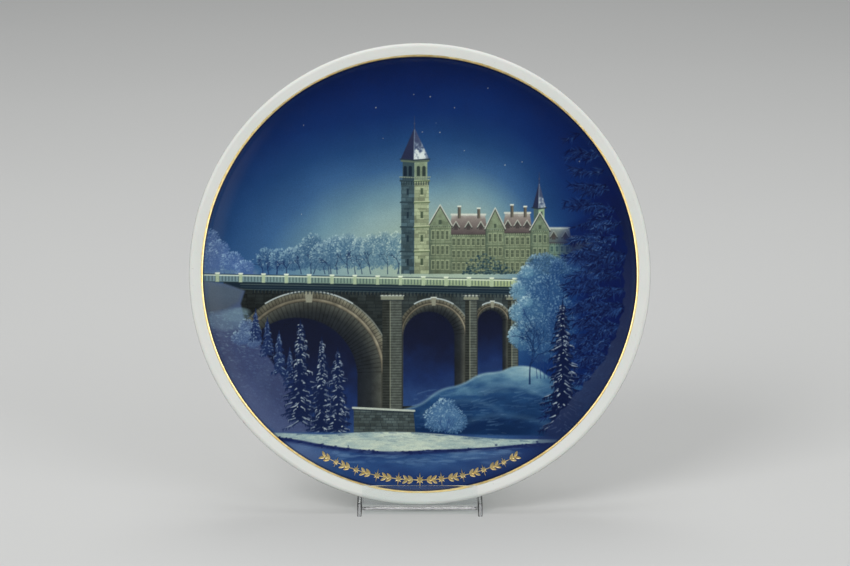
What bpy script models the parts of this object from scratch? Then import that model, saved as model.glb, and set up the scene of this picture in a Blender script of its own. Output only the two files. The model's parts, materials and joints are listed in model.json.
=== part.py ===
"""Souvenir plate on a clear display stand.

A glazed porcelain plate with a printed winter picture in its well leans on a low stand that is glued up
from three pieces of clear acrylic. Metres, +Z up, the plate's face towards -Y. The origin is on the table,
in the middle of the footprint.

The plate is turned about its own axis, in a frame that has the plate's plane as XY, +Y up the plate, +Z out
of its face and its origin in the middle of the ring that it stands on. The stand is drawn side-on, in the
YZ plane.
"""

import math

import bmesh
import bpy
from mathutils import Vector

MM = 0.001

# Plate: radii from its axis, heights above its foot.
PLATE_RADIUS = 107.5 * MM
WELL_RADIUS = 84.5 * MM
WELL_HEIGHT = 8.2 * MM
WELL_THICKNESS = 4.6 * MM
WALL_CURVE = 20.0 * MM
WALL_SLOPE = math.radians(52)
TURN_CURVE = 2.4 * MM
RIM_SLOPE = math.radians(14)
EDGE_ROUND = 1.6 * MM

# Foot: a low ring under the well, with two holes for a hanging cord.
FOOT_HEIGHT = WELL_HEIGHT - WELL_THICKNESS
FOOT_OUTER = 66.0 * MM
FOOT_INNER = 61.5 * MM
FOOT_TAPER = 1.0 * MM
CORD_HOLE_RADIUS = 1.1 * MM
CORD_HOLE_ANGLES = (math.radians(78), math.radians(102))

# Prints: each is a thin layer that floats just clear of what it is fired on.
PRINT_GAP = 0.1 * MM
PRINT_THICKNESS = 0.3 * MM
LINE_HALF_WIDTH = 0.4 * MM
LINE_HALF_HEIGHT = 0.15 * MM

# Garland: gold stars and leafy sprigs on a thin stem, along the bottom of the picture.
GARLAND_RADIUS = 96.4 * MM
GARLAND_LIFT = 0.6 * MM
GARLAND_HEIGHT = 0.4 * MM
GARLAND_STARS = 9
STAR_PITCH = math.radians(6)
STAR_RADIUS = 3.5 * MM
END_STAR_RADIUS = 2.5 * MM
STAR_POINTS = 4
STAR_WAIST = 0.30
SHORT_RAY = 0.62
LEAF_RADII = (1.5 * MM, 0.74 * MM, 0.6 * MM, 0.74 * MM)
LEAF_OFFSET = 1.3 * MM
LEAF_SLANT = math.radians(38)
LEAF_SPOTS = (-1.7 * MM, 0.7 * MM)
DOT_RADIUS = 0.7 * MM
DOT_HEIGHT = 0.36 * MM
LEAF_HEIGHT = 0.32 * MM
STEM_RADIUS = 0.15 * MM
STEM_POINTS = 29

# Stamp: a star in a ring, on the back inside the foot.
STAMP_RADIUS = 11.0 * MM
STAMP_RING_WIDTH = 0.9 * MM
STAMP_STAR_HEIGHT = 0.24 * MM

# Stand: acrylic sheet, two cheeks with a bent strip between them.
LEAN = math.radians(15)
SHEET = 2.0 * MM
BASE_DEPTH = 80.0 * MM
NOSE_DEPTH = 6.5 * MM
NOSE_HEIGHT = 6.4 * MM
TAIL_HEIGHT = 7.0 * MM
CRADLE_WIDTH = 53.6 * MM
SHELF_TOP = 3.6 * MM
LIP_REACH = 10.0 * MM
REST_TOP = -30.0 * MM
REST_CROWN = 9.0 * MM
BEND_RADIUS = 1.2 * MM
FIT_GAP = 0.3 * MM
SHEET_BEVEL = 0.25 * MM
SHARP_EDGE = math.radians(60)
NOSE_ROUND = 1.5 * MM
CHEEK_ROUND = 4.0 * MM

# Fineness of the turned and rounded shapes.
TURN_STEPS = 72
WALL_STEPS = 6
TURN_CURVE_STEPS = 3
ROUND_STEPS = 5
LINE_STEPS = 8
DOT_STEPS = 10
HOLE_STEPS = 12

PORCELAIN = ("porcelain", (0.76, 0.78, 0.74), 0.12, 0.0)
PICTURE_INK = ("picture_ink", (0.03, 0.08, 0.26), 0.10, 0.0)
GOLD = ("gold", (0.83, 0.64, 0.28), 0.22, 1.0)
STAMP_INK = ("stamp_ink", (0.05, 0.12, 0.38), 0.20, 0.0)
ACRYLIC = ("clear_acrylic", (0.86, 0.90, 0.90), 0.05, 0.0)


def clear_scene():
    for obj in list(bpy.data.objects):
        bpy.data.objects.remove(obj)


def new_collection(name):
    collection = bpy.data.collections.new(name)
    bpy.context.scene.collection.children.link(collection)
    return collection


def principled(name, colour, roughness, metallic):
    material = bpy.data.materials.get(name)
    if material is None:
        material = bpy.data.materials.new(name)
        material.use_nodes = True
        shader = material.node_tree.nodes["Principled BSDF"]
        shader.inputs["Base Color"].default_value = (*colour, 1.0)
        shader.inputs["Roughness"].default_value = roughness
        shader.inputs["Metallic"].default_value = metallic
    return material


def add_object(name, data, collection, look=None, parent=None):
    obj = bpy.data.objects.new(name, data)
    collection.objects.link(obj)
    obj.parent = parent
    if look:
        obj.data.materials.append(principled(*look))
    return obj


def make_helper(obj):
    obj.hide_render = True
    obj.display_type = "WIRE"


def evaluated_copy(obj):
    """A plain mesh of the object with its modifiers applied and its caps welded."""
    graph = bpy.context.evaluated_depsgraph_get()
    mesh = bpy.data.meshes.new_from_object(obj.evaluated_get(graph))
    work = bmesh.new()
    work.from_mesh(mesh)
    bmesh.ops.remove_doubles(work, verts=work.verts, dist=0.001 * MM)
    work.to_mesh(mesh)
    work.free()
    return mesh


def bevel_edges(obj):
    bevel = obj.modifiers.new("soft_edges", "BEVEL")
    bevel.width = SHEET_BEVEL
    bevel.segments = 1
    bevel.limit_method = "ANGLE"
    bevel.angle_limit = SHARP_EDGE


# The plate's section, as points of radius and height.


def turn_centre():
    """Centre of the rounded turn between the wall and the rim."""
    reach = WALL_CURVE + TURN_CURVE
    radius = WELL_RADIUS + reach * math.sin(WALL_SLOPE)
    height = WELL_HEIGHT + WALL_CURVE - reach * math.cos(WALL_SLOPE)
    return Vector((radius, height))


def wall_point(slope, lift):
    """The point of the hollow wall where it has this slope, raised by lift."""
    reach = WALL_CURVE - lift
    radius = WELL_RADIUS + reach * math.sin(slope)
    height = WELL_HEIGHT + WALL_CURVE - reach * math.cos(slope)
    return Vector((radius, height))


def turn_point(slope, lift):
    """The point of the rounded turn where it has this slope, raised by lift."""
    outward = Vector((-math.sin(slope), math.cos(slope)))
    return turn_centre() + (TURN_CURVE + lift) * outward


def face_path(lift, turn_steps):
    """The plate's face from its middle outwards, raised by lift, over some steps of the rounded turn."""
    path = [Vector((0, WELL_HEIGHT + lift))]
    path += [wall_point(WALL_SLOPE * step / WALL_STEPS, lift) for step in range(WALL_STEPS + 1)]
    for step in range(1, turn_steps + 1):
        slope = WALL_SLOPE + (RIM_SLOPE - WALL_SLOPE) * step / TURN_CURVE_STEPS
        path.append(turn_point(slope, lift))
    return path


def edge_centre():
    """Centre of the plate's rounded edge, in line with the rim."""
    rim_start = turn_point(RIM_SLOPE, 0)
    radius = PLATE_RADIUS - EDGE_ROUND
    touch = radius - EDGE_ROUND * math.sin(RIM_SLOPE)
    height = rim_start.y + (touch - rim_start.x) * math.tan(RIM_SLOPE) - EDGE_ROUND * math.cos(RIM_SLOPE)
    return Vector((radius, height))


def edge_path():
    """The rounded edge, from the rim's face round to its back."""
    path = []
    for step in range(ROUND_STEPS + 1):
        angle = math.pi / 2 + RIM_SLOPE - math.pi * step / ROUND_STEPS
        path.append(edge_centre() + EDGE_ROUND * Vector((math.cos(angle), math.sin(angle))))
    return path


def back_path():
    """The back of the wall, the foot ring and the recess inside it, from the rim to the middle."""
    path = []
    for step in range(ROUND_STEPS, -1, -1):
        path.append(wall_point(WALL_SLOPE * step / ROUND_STEPS, -WELL_THICKNESS))
    path.append(Vector((FOOT_OUTER + FOOT_TAPER, FOOT_HEIGHT)))
    path.append(Vector((FOOT_OUTER, 0)))
    path.append(Vector((FOOT_INNER, 0)))
    path.append(Vector((FOOT_INNER - FOOT_TAPER, FOOT_HEIGHT)))
    path.append(Vector((0, FOOT_HEIGHT)))
    return path


def turned(name, path, closed, collection, look, parent):
    """Turns a section about the plate's axis. The section runs down its outer side, top to bottom."""
    mesh = bpy.data.meshes.new(name)
    edges = [(index, index + 1) for index in range(len(path) - 1)]
    if closed:
        edges.append((len(path) - 1, 0))
    mesh.from_pydata([(point.x, 0, point.y) for point in path], edges, [])
    obj = add_object(name, mesh, collection, look, parent)
    screw = obj.modifiers.new("turn", "SCREW")
    screw.axis = "Z"
    screw.steps = TURN_STEPS
    screw.render_steps = TURN_STEPS
    screw.use_merge_vertices = True
    screw.merge_threshold = 0.01 * MM
    screw.use_smooth_shade = True
    return obj


def build_porcelain(collection, cutters, plate):
    section = face_path(0, TURN_CURVE_STEPS) + edge_path() + back_path()
    body = turned("porcelain_body", section, False, collection, PORCELAIN, plate)
    for number, angle in enumerate(CORD_HOLE_ANGLES, 1):
        cut = body.modifiers.new(f"cord_hole_{number}", "BOOLEAN")
        cut.operation = "DIFFERENCE"
        cut.object = cord_hole(number, angle, cutters, plate)


def cord_hole(number, angle, cutters, plate):
    """A round cutter that runs radially through the foot ring."""
    mesh = bpy.data.meshes.new(f"cord_hole_cutter_{number}")
    work = bmesh.new()
    bmesh.ops.create_cone(
        work,
        cap_ends=True,
        segments=HOLE_STEPS,
        radius1=CORD_HOLE_RADIUS,
        radius2=CORD_HOLE_RADIUS,
        depth=3 * (FOOT_OUTER - FOOT_INNER),
    )
    work.to_mesh(mesh)
    work.free()
    cutter = add_object(mesh.name, mesh, cutters, parent=plate)
    outward = Vector((math.cos(angle), math.sin(angle), 0))
    cutter.location = outward * (FOOT_OUTER + FOOT_INNER) / 2 + Vector((0, 0, FOOT_HEIGHT / 2))
    cutter.rotation_euler = outward.to_track_quat("Z", "Y").to_euler()
    make_helper(cutter)
    return cutter


def build_picture(collection, plate):
    """The printed picture: a thin layer over the well and up its wall, ending just inside the gold line."""
    top = face_path(PRINT_GAP + PRINT_THICKNESS, TURN_CURVE_STEPS - 1)
    bottom = face_path(PRINT_GAP, TURN_CURVE_STEPS - 1)
    turned("winter_picture", top + bottom[::-1], False, collection, PICTURE_INK, plate)


def build_gold_line(collection, plate):
    """A thin gold ring where the wall turns onto the rim."""
    centre = turn_point(RIM_SLOPE, PRINT_GAP + LINE_HALF_HEIGHT)
    along = Vector((math.cos(RIM_SLOPE), math.sin(RIM_SLOPE)))
    outward = Vector((-math.sin(RIM_SLOPE), math.cos(RIM_SLOPE)))
    section = []
    for index in range(LINE_STEPS):
        angle = -math.tau * index / LINE_STEPS
        across = LINE_HALF_WIDTH * math.cos(angle) * along
        section.append(centre + across + LINE_HALF_HEIGHT * math.sin(angle) * outward)
    turned("gold_line", section, True, collection, GOLD, plate)


def prism(name, radii, height, collection, parent=None):
    """An upright prism whose corners lie at these radii, evenly spaced in angle from +Y."""
    mesh = bpy.data.meshes.new(name)
    work = bmesh.new()
    ring = bmesh.ops.create_circle(work, cap_ends=True, segments=len(radii), radius=1)["verts"]
    for corner, radius in zip(ring, radii):
        corner.co *= radius
    raised = bmesh.ops.extrude_face_region(work, geom=list(work.faces))["geom"]
    for vert in raised:
        if isinstance(vert, bmesh.types.BMVert):
            vert.co.z += height
    bmesh.ops.recalc_face_normals(work, faces=work.faces)
    work.to_mesh(mesh)
    work.free()
    return add_object(name, mesh, collection, parent=parent)


def star_radii(outer):
    """The corner radii of a star whose long rays have this length, with short rays between them."""
    return [outer, STAR_WAIST * outer, SHORT_RAY * outer, STAR_WAIST * outer] * STAR_POINTS


def on_wall(point):
    """Moves a point of the flat garland onto the wall. Its y axis points to the plate's middle."""
    slope = math.asin((GARLAND_RADIUS - point.y - WELL_RADIUS) / WALL_CURVE)
    section = wall_point(slope, GARLAND_LIFT + point.z)
    angle = -math.pi / 2 + point.x / GARLAND_RADIUS
    return Vector((section.x * math.cos(angle), section.x * math.sin(angle), section.y))


def add_motif(name, radii, height, motifs, place, turn=0):
    """One flat piece of the garland, centred on the stem's height."""
    motif = prism(name, radii, height, motifs)
    motif.location = (place.x, place.y, (GARLAND_HEIGHT - height) / 2)
    motif.rotation_euler.z = turn
    make_helper(motif)


def add_sprig(index, along, motifs):
    """A berry on the stem and two pairs of leaves that slant away from the garland's middle."""
    add_motif(f"garland_dot_{index}", [DOT_RADIUS] * DOT_STEPS, DOT_HEIGHT, motifs, Vector((along, 0)))
    outwards = math.copysign(1, along)
    for number, spot in enumerate(LEAF_SPOTS):
        for side in (-1, 1):
            lean = Vector((outwards * math.cos(LEAF_SLANT), side * math.sin(LEAF_SLANT)))
            place = Vector((along + outwards * spot, 0)) + LEAF_OFFSET * lean
            turn = math.atan2(lean.y, lean.x) - math.pi / 2
            name = f"garland_leaf_{index}_{number}_{side}"
            add_motif(name, LEAF_RADII * 2, LEAF_HEIGHT, motifs, place, turn)


def build_garland(collection, cutters, plate):
    """Stars and sprigs joined by a stem, first laid out flat and then bent onto the wall."""
    stem = garland_stem(cutters)
    motifs = bpy.data.collections.new("garland_motifs")
    cutters.children.link(motifs)
    middle = (GARLAND_STARS - 1) / 2
    for index in range(GARLAND_STARS):
        away = abs(index - middle) / middle
        radii = star_radii(STAR_RADIUS + (END_STAR_RADIUS - STAR_RADIUS) * away)
        place = Vector(((index - middle) * STAR_PITCH * GARLAND_RADIUS, 0))
        add_motif(f"garland_star_{index}", radii, GARLAND_HEIGHT, motifs, place)
    for index in range(GARLAND_STARS + 1):
        add_sprig(index, (index - 0.5 - middle) * STAR_PITCH * GARLAND_RADIUS, motifs)
    union = stem.modifiers.new("motifs", "BOOLEAN")
    union.operation = "UNION"
    union.operand_type = "COLLECTION"
    union.collection = motifs
    mesh = evaluated_copy(stem)
    for vert in mesh.vertices:
        vert.co = on_wall(vert.co)
    mesh.name = "gold_garland"
    add_object("gold_garland", mesh, collection, GOLD, plate)
    bpy.data.objects.remove(stem)
    for motif in list(motifs.objects):
        bpy.data.objects.remove(motif)
    bpy.data.collections.remove(motifs)


def garland_stem(cutters):
    """The straight, flat-lying wire that the garland's motifs sit on, as a mesh."""
    reach = (GARLAND_STARS / 2) * STAR_PITCH * GARLAND_RADIUS
    curve = bpy.data.curves.new("garland_stem", "CURVE")
    curve.dimensions = "3D"
    curve.bevel_depth = STEM_RADIUS
    curve.bevel_resolution = 1
    curve.use_fill_caps = True
    spline = curve.splines.new("POLY")
    spline.points.add(STEM_POINTS - 1)
    for index, point in enumerate(spline.points):
        along = -reach + 2 * reach * index / (STEM_POINTS - 1)
        point.co = (along, 0, GARLAND_HEIGHT / 2, 1)
    guide = add_object("garland_stem_curve", curve, cutters)
    bpy.context.view_layer.update()
    stem = add_object("garland_stem", evaluated_copy(guide), cutters)
    bpy.data.objects.remove(guide)
    make_helper(stem)
    return stem


def build_stamp(collection, cutters, plate):
    """The stamp on the back: a plain star in a ring."""
    height = FOOT_HEIGHT - PRINT_GAP - PRINT_THICKNESS
    inner = STAMP_RADIUS - STAMP_RING_WIDTH
    ring = [Vector((inner, PRINT_THICKNESS)), Vector((STAMP_RADIUS, PRINT_THICKNESS))]
    ring += [Vector((STAMP_RADIUS, 0)), Vector((inner, 0))]
    stamp = turned("back_stamp", ring, True, collection, STAMP_INK, plate)
    stamp.location.z = height
    radii = star_radii(STAMP_RADIUS - STAMP_RING_WIDTH / 2)
    star = prism("stamp_star", radii, STAMP_STAR_HEIGHT, cutters, plate)
    star.location.z = height + (PRINT_THICKNESS - STAMP_STAR_HEIGHT) / 2
    make_helper(star)
    union = stamp.modifiers.new("star", "BOOLEAN")
    union.operation = "UNION"
    union.object = star


# The stand's outlines, side-on, as points of Y and Z.


def plate_centre():
    """The middle of the plate's foot when its edge rests over the cradle's shelf."""
    edge = edge_centre()
    depth = -BASE_DEPTH / 2 + NOSE_DEPTH + edge.x * math.sin(LEAN) + edge.y * math.cos(LEAN)
    height = SHELF_TOP + FIT_GAP + EDGE_ROUND + edge.x * math.cos(LEAN) - edge.y * math.sin(LEAN)
    return Vector((depth, height))


def leaning(up, out):
    """A point given up the plate's plane and out of its face, in side view."""
    centre = plate_centre()
    return Vector(
        (
            centre.x + up * math.sin(LEAN) - out * math.cos(LEAN),
            centre.y + up * math.cos(LEAN) + out * math.sin(LEAN),
        )
    )


def leaning_at_height(height, out):
    """The point of a plane parallel to the plate that lies at this height above the table."""
    foot = leaning(0, out)
    return leaning((height - foot.y) / math.cos(LEAN), out)


def rounded(corners, radii, closed):
    """A path through these corners, each turned on an arc of its radius."""
    path = []
    count = len(corners)
    for index, (corner, radius) in enumerate(zip(corners, radii)):
        if radius == 0 or (not closed and index in (0, count - 1)):
            path.append(corner.copy())
            continue
        back = (corners[index - 1] - corner).normalized()
        ahead = (corners[(index + 1) % count] - corner).normalized()
        half = back.angle(ahead) / 2
        centre = corner + (back + ahead).normalized() * radius / math.sin(half)
        start = corner + back * radius / math.tan(half) - centre
        sweep = start.angle_signed(corner + ahead * radius / math.tan(half) - centre)
        for step in range(ROUND_STEPS + 1):
            turn = -sweep * step / ROUND_STEPS
            spun = Vector(
                (
                    start.x * math.cos(turn) - start.y * math.sin(turn),
                    start.x * math.sin(turn) + start.y * math.cos(turn),
                )
            )
            path.append(centre + spun)
    return path


def build_cradle(collection):
    """The strip between the cheeks: front lip, level shelf and back rest, bent from one sheet."""
    front = edge_centre().y + EDGE_ROUND + FIT_GAP
    rest = -FIT_GAP
    shelf_front = leaning_at_height(SHELF_TOP, front)
    shelf_back = leaning_at_height(SHELF_TOP, rest)
    lip_top = shelf_front + LIP_REACH * Vector((math.sin(LEAN), math.cos(LEAN)))
    corners = [lip_top, shelf_front, shelf_back, leaning(REST_TOP - REST_CROWN, rest)]
    path = rounded(corners, [0, BEND_RADIUS, BEND_RADIUS, 0], False)
    mesh = bpy.data.meshes.new("stand_cradle")
    work = bmesh.new()
    rows = []
    for side in (-1, 1):
        rows.append([work.verts.new((side * CRADLE_WIDTH / 2, point.x, point.y)) for point in path])
    left, right = rows
    for index in range(len(path) - 1):
        work.faces.new((left[index], left[index + 1], right[index + 1], right[index]))
    bmesh.ops.recalc_face_normals(work, faces=work.faces)
    work.to_mesh(mesh)
    work.free()
    cradle = add_object("stand_cradle", mesh, collection, ACRYLIC)
    thick = cradle.modifiers.new("sheet", "SOLIDIFY")
    thick.thickness = SHEET
    thick.offset = sheet_side(mesh)
    thick.use_even_offset = True
    bevel_edges(cradle)


def sheet_side(mesh):
    """1 or -1, whichever makes the sheet grow away from the plate: down from the shelf."""
    shelf = max(mesh.polygons, key=lambda face: face.area if abs(face.normal.z) > 0.99 else 0)
    return -1 if shelf.normal.z > 0 else 1


def cheek_outline():
    """A cheek's outline: low nose under the plate's edge, rest up the plate's back, long sloping tail."""
    front = -BASE_DEPTH / 2
    back = BASE_DEPTH / 2
    rest = -FIT_GAP
    crown = leaning(REST_TOP, rest)
    corners = [
        Vector((front, 0)),
        Vector((front, NOSE_HEIGHT)),
        leaning_at_height(NOSE_HEIGHT, rest),
        crown,
        crown + REST_CROWN * Vector((math.cos(LEAN), -math.sin(LEAN))),
        Vector((back, TAIL_HEIGHT)),
        Vector((back, 0)),
    ]
    radii = [0, NOSE_ROUND, CHEEK_ROUND, CHEEK_ROUND, CHEEK_ROUND, CHEEK_ROUND, 0]
    return rounded(corners, radii, True)


def build_cheek(name, side, collection):
    """One cheek of the stand, cut from flat sheet and standing on its lower edge."""
    curve = bpy.data.curves.new(name + "_outline", "CURVE")
    curve.dimensions = "2D"
    curve.fill_mode = "BOTH"
    curve.extrude = SHEET / 2
    spline = curve.splines.new("POLY")
    spline.use_cyclic_u = True
    outline = cheek_outline()
    spline.points.add(len(outline) - 1)
    for point, place in zip(spline.points, outline):
        point.co = (place.x, place.y, 0, 1)
    cheek = add_object(name, curve, collection, ACRYLIC)
    cheek.location.x = side * (CRADLE_WIDTH / 2 + FIT_GAP + SHEET / 2)
    cheek.rotation_euler = (math.pi / 2, 0, math.pi / 2)
    weld = cheek.modifiers.new("join_caps", "WELD")
    weld.merge_threshold = 0.01 * MM
    bevel_edges(cheek)


def build_plate(collection, cutters):
    """The plate, with every part of it on one frame that leans back against the stand."""
    plate = bpy.data.objects.new("plate_frame", None)
    collection.objects.link(plate)
    centre = plate_centre()
    plate.location = (0, centre.x, centre.y)
    plate.rotation_euler = (math.pi / 2 - LEAN, 0, 0)
    build_porcelain(collection, cutters, plate)
    build_picture(collection, plate)
    build_gold_line(collection, plate)
    build_garland(collection, cutters, plate)
    build_stamp(collection, cutters, plate)


def build_stand(collection):
    build_cheek("stand_left_cheek", -1, collection)
    build_cheek("stand_right_cheek", 1, collection)
    build_cradle(collection)


def main():
    clear_scene()
    collection = new_collection("souvenir_plate")
    cutters = new_collection("cutters")
    build_plate(collection, cutters)
    build_stand(collection)
    bpy.context.view_layer.update()


main()
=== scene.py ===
"""The looks of a souvenir plate on its clear stand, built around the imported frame.

The plate is glazed porcelain with a winter evening painted in its well, a gold line round the picture, a
gold garland along its foot and a stamp on the back. The stand is clear acrylic sheet. Lengths are metres,
except in the painting, which is laid out in millimetres from the plate's middle, x to the right and y up.
"""

import json
import math

import bmesh
import bpy
import numpy as np
from mathutils import Matrix, Vector


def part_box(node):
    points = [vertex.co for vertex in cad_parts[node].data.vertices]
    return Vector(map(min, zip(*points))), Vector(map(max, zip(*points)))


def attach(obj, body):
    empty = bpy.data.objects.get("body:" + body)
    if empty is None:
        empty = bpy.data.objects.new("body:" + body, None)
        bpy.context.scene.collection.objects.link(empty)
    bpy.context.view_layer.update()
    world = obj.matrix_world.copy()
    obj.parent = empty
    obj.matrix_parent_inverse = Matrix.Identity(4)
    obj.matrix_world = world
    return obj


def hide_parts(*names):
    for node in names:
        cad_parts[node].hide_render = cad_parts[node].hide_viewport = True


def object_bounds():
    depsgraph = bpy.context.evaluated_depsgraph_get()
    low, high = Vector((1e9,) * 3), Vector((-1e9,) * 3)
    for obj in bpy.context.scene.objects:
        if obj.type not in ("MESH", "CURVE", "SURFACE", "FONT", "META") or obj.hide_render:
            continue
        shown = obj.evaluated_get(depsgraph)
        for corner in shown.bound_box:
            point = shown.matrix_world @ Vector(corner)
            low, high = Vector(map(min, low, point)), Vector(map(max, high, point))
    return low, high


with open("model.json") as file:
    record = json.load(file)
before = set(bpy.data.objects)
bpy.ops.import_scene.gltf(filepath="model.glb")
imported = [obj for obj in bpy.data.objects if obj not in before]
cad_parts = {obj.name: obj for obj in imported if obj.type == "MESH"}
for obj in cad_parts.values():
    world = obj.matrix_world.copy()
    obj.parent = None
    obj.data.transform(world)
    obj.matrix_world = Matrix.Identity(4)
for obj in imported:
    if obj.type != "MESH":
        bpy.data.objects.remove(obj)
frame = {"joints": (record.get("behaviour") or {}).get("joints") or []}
CAD_LOW, CAD_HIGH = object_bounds()

MM = 0.001

# The plate's section, as the CAD model has it: radii from the axis, heights above the foot.
PLATE_RADIUS = (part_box("porcelain_body")[1].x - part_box("porcelain_body")[0].x) / 2
WELL_RADIUS = 84.5 * MM
WELL_HEIGHT = 8.2 * MM
WELL_THICKNESS = 4.6 * MM
WALL_CURVE = 20.0 * MM
WALL_SLOPE = math.radians(52)
TURN_CURVE = 2.4 * MM
RIM_SLOPE = math.radians(14)
EDGE_ROUND = 1.6 * MM
FOOT_HEIGHT = WELL_HEIGHT - WELL_THICKNESS
FOOT_OUTER = 66.0 * MM
FOOT_INNER = 61.5 * MM
FOOT_TAPER = 1.0 * MM
FOOT_ROUND = 0.9 * MM
CORD_HOLE_RADIUS = 1.1 * MM
CORD_HOLE_ANGLES = (math.radians(78), math.radians(102))

# The prints and the gilding, which stand a hair above the glaze. Their heights are finer than the CAD's.
PRINT_LIFT = 0.05 * MM
PICTURE_SLOPE = math.radians(22)
CAD_LINE_LIFT = 0.25 * MM
LINE_HALF_WIDTH = 0.48 * MM
LINE_HEIGHT = 0.10 * MM
LINE_SIDES = 10
GARLAND_RADIUS = 96.4 * MM
GARLAND_STARS = 9
STAR_PITCH = math.radians(6)
STAR_RADIUS = 3.5 * MM
END_STAR_RADIUS = 2.5 * MM
BERRY_RADIUS = 0.7 * MM
LEAF_LENGTH = 2.9 * MM
LEAF_WIDTH = 1.35 * MM
LEAF_SLANT = math.radians(38)
LEAF_SPOTS = (-1.7 * MM, 0.7 * MM)
STEM_RADIUS = 0.16 * MM
STAR_HEIGHT = 0.30 * MM
BERRY_HEIGHT = 0.34 * MM
LEAF_HEIGHT = 0.22 * MM
CUSHION_RINGS = ((1.0, 0.0), (0.97, 0.45), (0.88, 0.75), (0.6, 0.9), (0.3, 0.98))
STAMP_RADIUS = 11.0 * MM
STAMP_RING_WIDTH = 0.9 * MM
STAMP_LIFT = 0.01 * MM
STAMP_HEIGHT = 0.06 * MM
STAMP_SLOPE = 0.08 * MM

# The stand's sheet.
SHEET = 2.0 * MM
SHELF_TOP = 3.6 * MM
LIP_REACH = 10.0 * MM
REST_TOP = -30.0 * MM
REST_CROWN = 9.0 * MM
FIT_GAP = 0.3 * MM
NOSE_HEIGHT = 6.4 * MM
TAIL_HEIGHT = 7.0 * MM
NOSE_ROUND = 1.5 * MM
CHEEK_ROUND = 4.0 * MM
BEND_RADIUS = 1.2 * MM
SHEET_BEVEL = 0.40 * MM
BEVELLED_ANGLE = math.radians(50)
SHARP_ANGLE = math.radians(40)

# How the glaze and the studio's light change the painting's colours.
GLAZE_TINT = np.array((1.0, 1.01, 0.97))
PAINT_GAIN = 1.18

# Light, as strengths of the room: for what it lights, behind the far floor, and for what mirrors it.
ROOM_LIGHT = 0.42
BACKDROP = 0.6 * ROOM_LIGHT
MIRRORED_ROOM = 0.06
MIRRORED_WINDOW = 0.45

# The table and the camera.
FLOOR_REACH = 6.0
FLOOR_GAP = 0.02 * MM
VIEW_DISTANCE = 1.25
VIEW_WIDTH = 396 * MM
VIEW_SHIFT = (2.4 * MM, 4.3 * MM)
SENSOR = 36

# Fineness: steps of arcs and rings, and the painting's reach and pitch in millimetres.
TURN_STEPS = 384
WALL_STEPS = 36
WALL_TOP_STEPS = 12
EDGE_STEPS = 20
LINE_STEPS = 720
STEM_STEPS = 240
LEAF_STEPS = 20
BERRY_STEPS = 24
HOLE_STEPS = 32
STAMP_STEPS = 160
UNDERSIDE_RINGS = 14
PAINT_PITCH = 0.25
PAINT_REACH = 102.5

# The lean of the plate and the middle of its foot, read from the frame.
LIFT_AXIS = Vector(frame["joints"][0]["axis"]).normalized()
FACE_AXIS = Vector((0, -LIFT_AXIS.z, LIFT_AXIS.y))
LEAN = math.atan2(LIFT_AXIS.y, LIFT_AXIS.z)


# ---- Sections and outlines, as points of two coordinates ----


def arc(centre, radius, start, stop, steps):
    """Points along an arc, angles in radians from the first coordinate's axis."""
    turns = [start + (stop - start) * step / steps for step in range(steps + 1)]
    return [Vector((centre.x + radius * math.cos(a), centre.y + radius * math.sin(a))) for a in turns]


def rounded(corners, radii, steps=8):
    """A path through these corners in order, each turned on an arc of its radius."""
    path = []
    count = len(corners)
    for index, (corner, radius) in enumerate(zip(corners, radii)):
        if radius == 0:
            path.append(corner.copy())
            continue
        back = (corners[index - 1] - corner).normalized()
        ahead = (corners[(index + 1) % count] - corner).normalized()
        half = back.angle(ahead) / 2
        centre = corner + (back + ahead).normalized() * radius / math.sin(half)
        start = corner + back * radius / math.tan(half) - centre
        stop = corner + ahead * radius / math.tan(half) - centre
        first = math.atan2(start.y, start.x)
        sweep = -start.angle_signed(stop)
        path += arc(centre, radius, first, first + sweep, steps)
    return path


def turn_centre():
    """Centre of the rounded turn between the wall and the rim."""
    reach = WALL_CURVE + TURN_CURVE
    radius = WELL_RADIUS + reach * math.sin(WALL_SLOPE)
    height = WELL_HEIGHT + WALL_CURVE - reach * math.cos(WALL_SLOPE)
    return Vector((radius, height))


def rim_start():
    """Where the rounded turn runs out into the rim. The gold line lies here."""
    return turn_centre() + TURN_CURVE * Vector((-math.sin(RIM_SLOPE), math.cos(RIM_SLOPE)))


def edge_centre():
    """Centre of the plate's rounded edge, in line with the rim."""
    start = rim_start()
    radius = PLATE_RADIUS - EDGE_ROUND
    touch = radius - EDGE_ROUND * math.sin(RIM_SLOPE)
    height = start.y + (touch - start.x) * math.tan(RIM_SLOPE) - EDGE_ROUND * math.cos(RIM_SLOPE)
    return Vector((radius, height))


def wall_centre():
    return Vector((WELL_RADIUS, WELL_HEIGHT + WALL_CURVE))


def plate_section():
    """The whole plate from the middle of its well, over the rim and back to the middle of its underside."""
    quarter = math.pi / 2
    section = [Vector((0, WELL_HEIGHT))]
    section += arc(wall_centre(), WALL_CURVE, -quarter, WALL_SLOPE - quarter, WALL_STEPS)
    section += arc(turn_centre(), TURN_CURVE, quarter + WALL_SLOPE, quarter + RIM_SLOPE, WALL_TOP_STEPS)[1:]
    section += arc(edge_centre(), EDGE_ROUND, quarter + RIM_SLOPE, RIM_SLOPE - quarter, EDGE_STEPS)
    section += arc(wall_centre(), WALL_CURVE + WELL_THICKNESS, WALL_SLOPE - quarter, -quarter, WALL_STEPS)
    foot = [
        Vector((WELL_RADIUS, FOOT_HEIGHT)),
        Vector((FOOT_OUTER + FOOT_TAPER, FOOT_HEIGHT)),
        Vector((FOOT_OUTER, 0)),
        Vector((FOOT_INNER, 0)),
        Vector((FOOT_INNER - FOOT_TAPER, FOOT_HEIGHT)),
        Vector((0, FOOT_HEIGHT)),
    ]
    section += rounded(foot, [0, FOOT_ROUND, FOOT_ROUND, FOOT_ROUND, FOOT_ROUND, 0])[1:]
    return section


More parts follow.
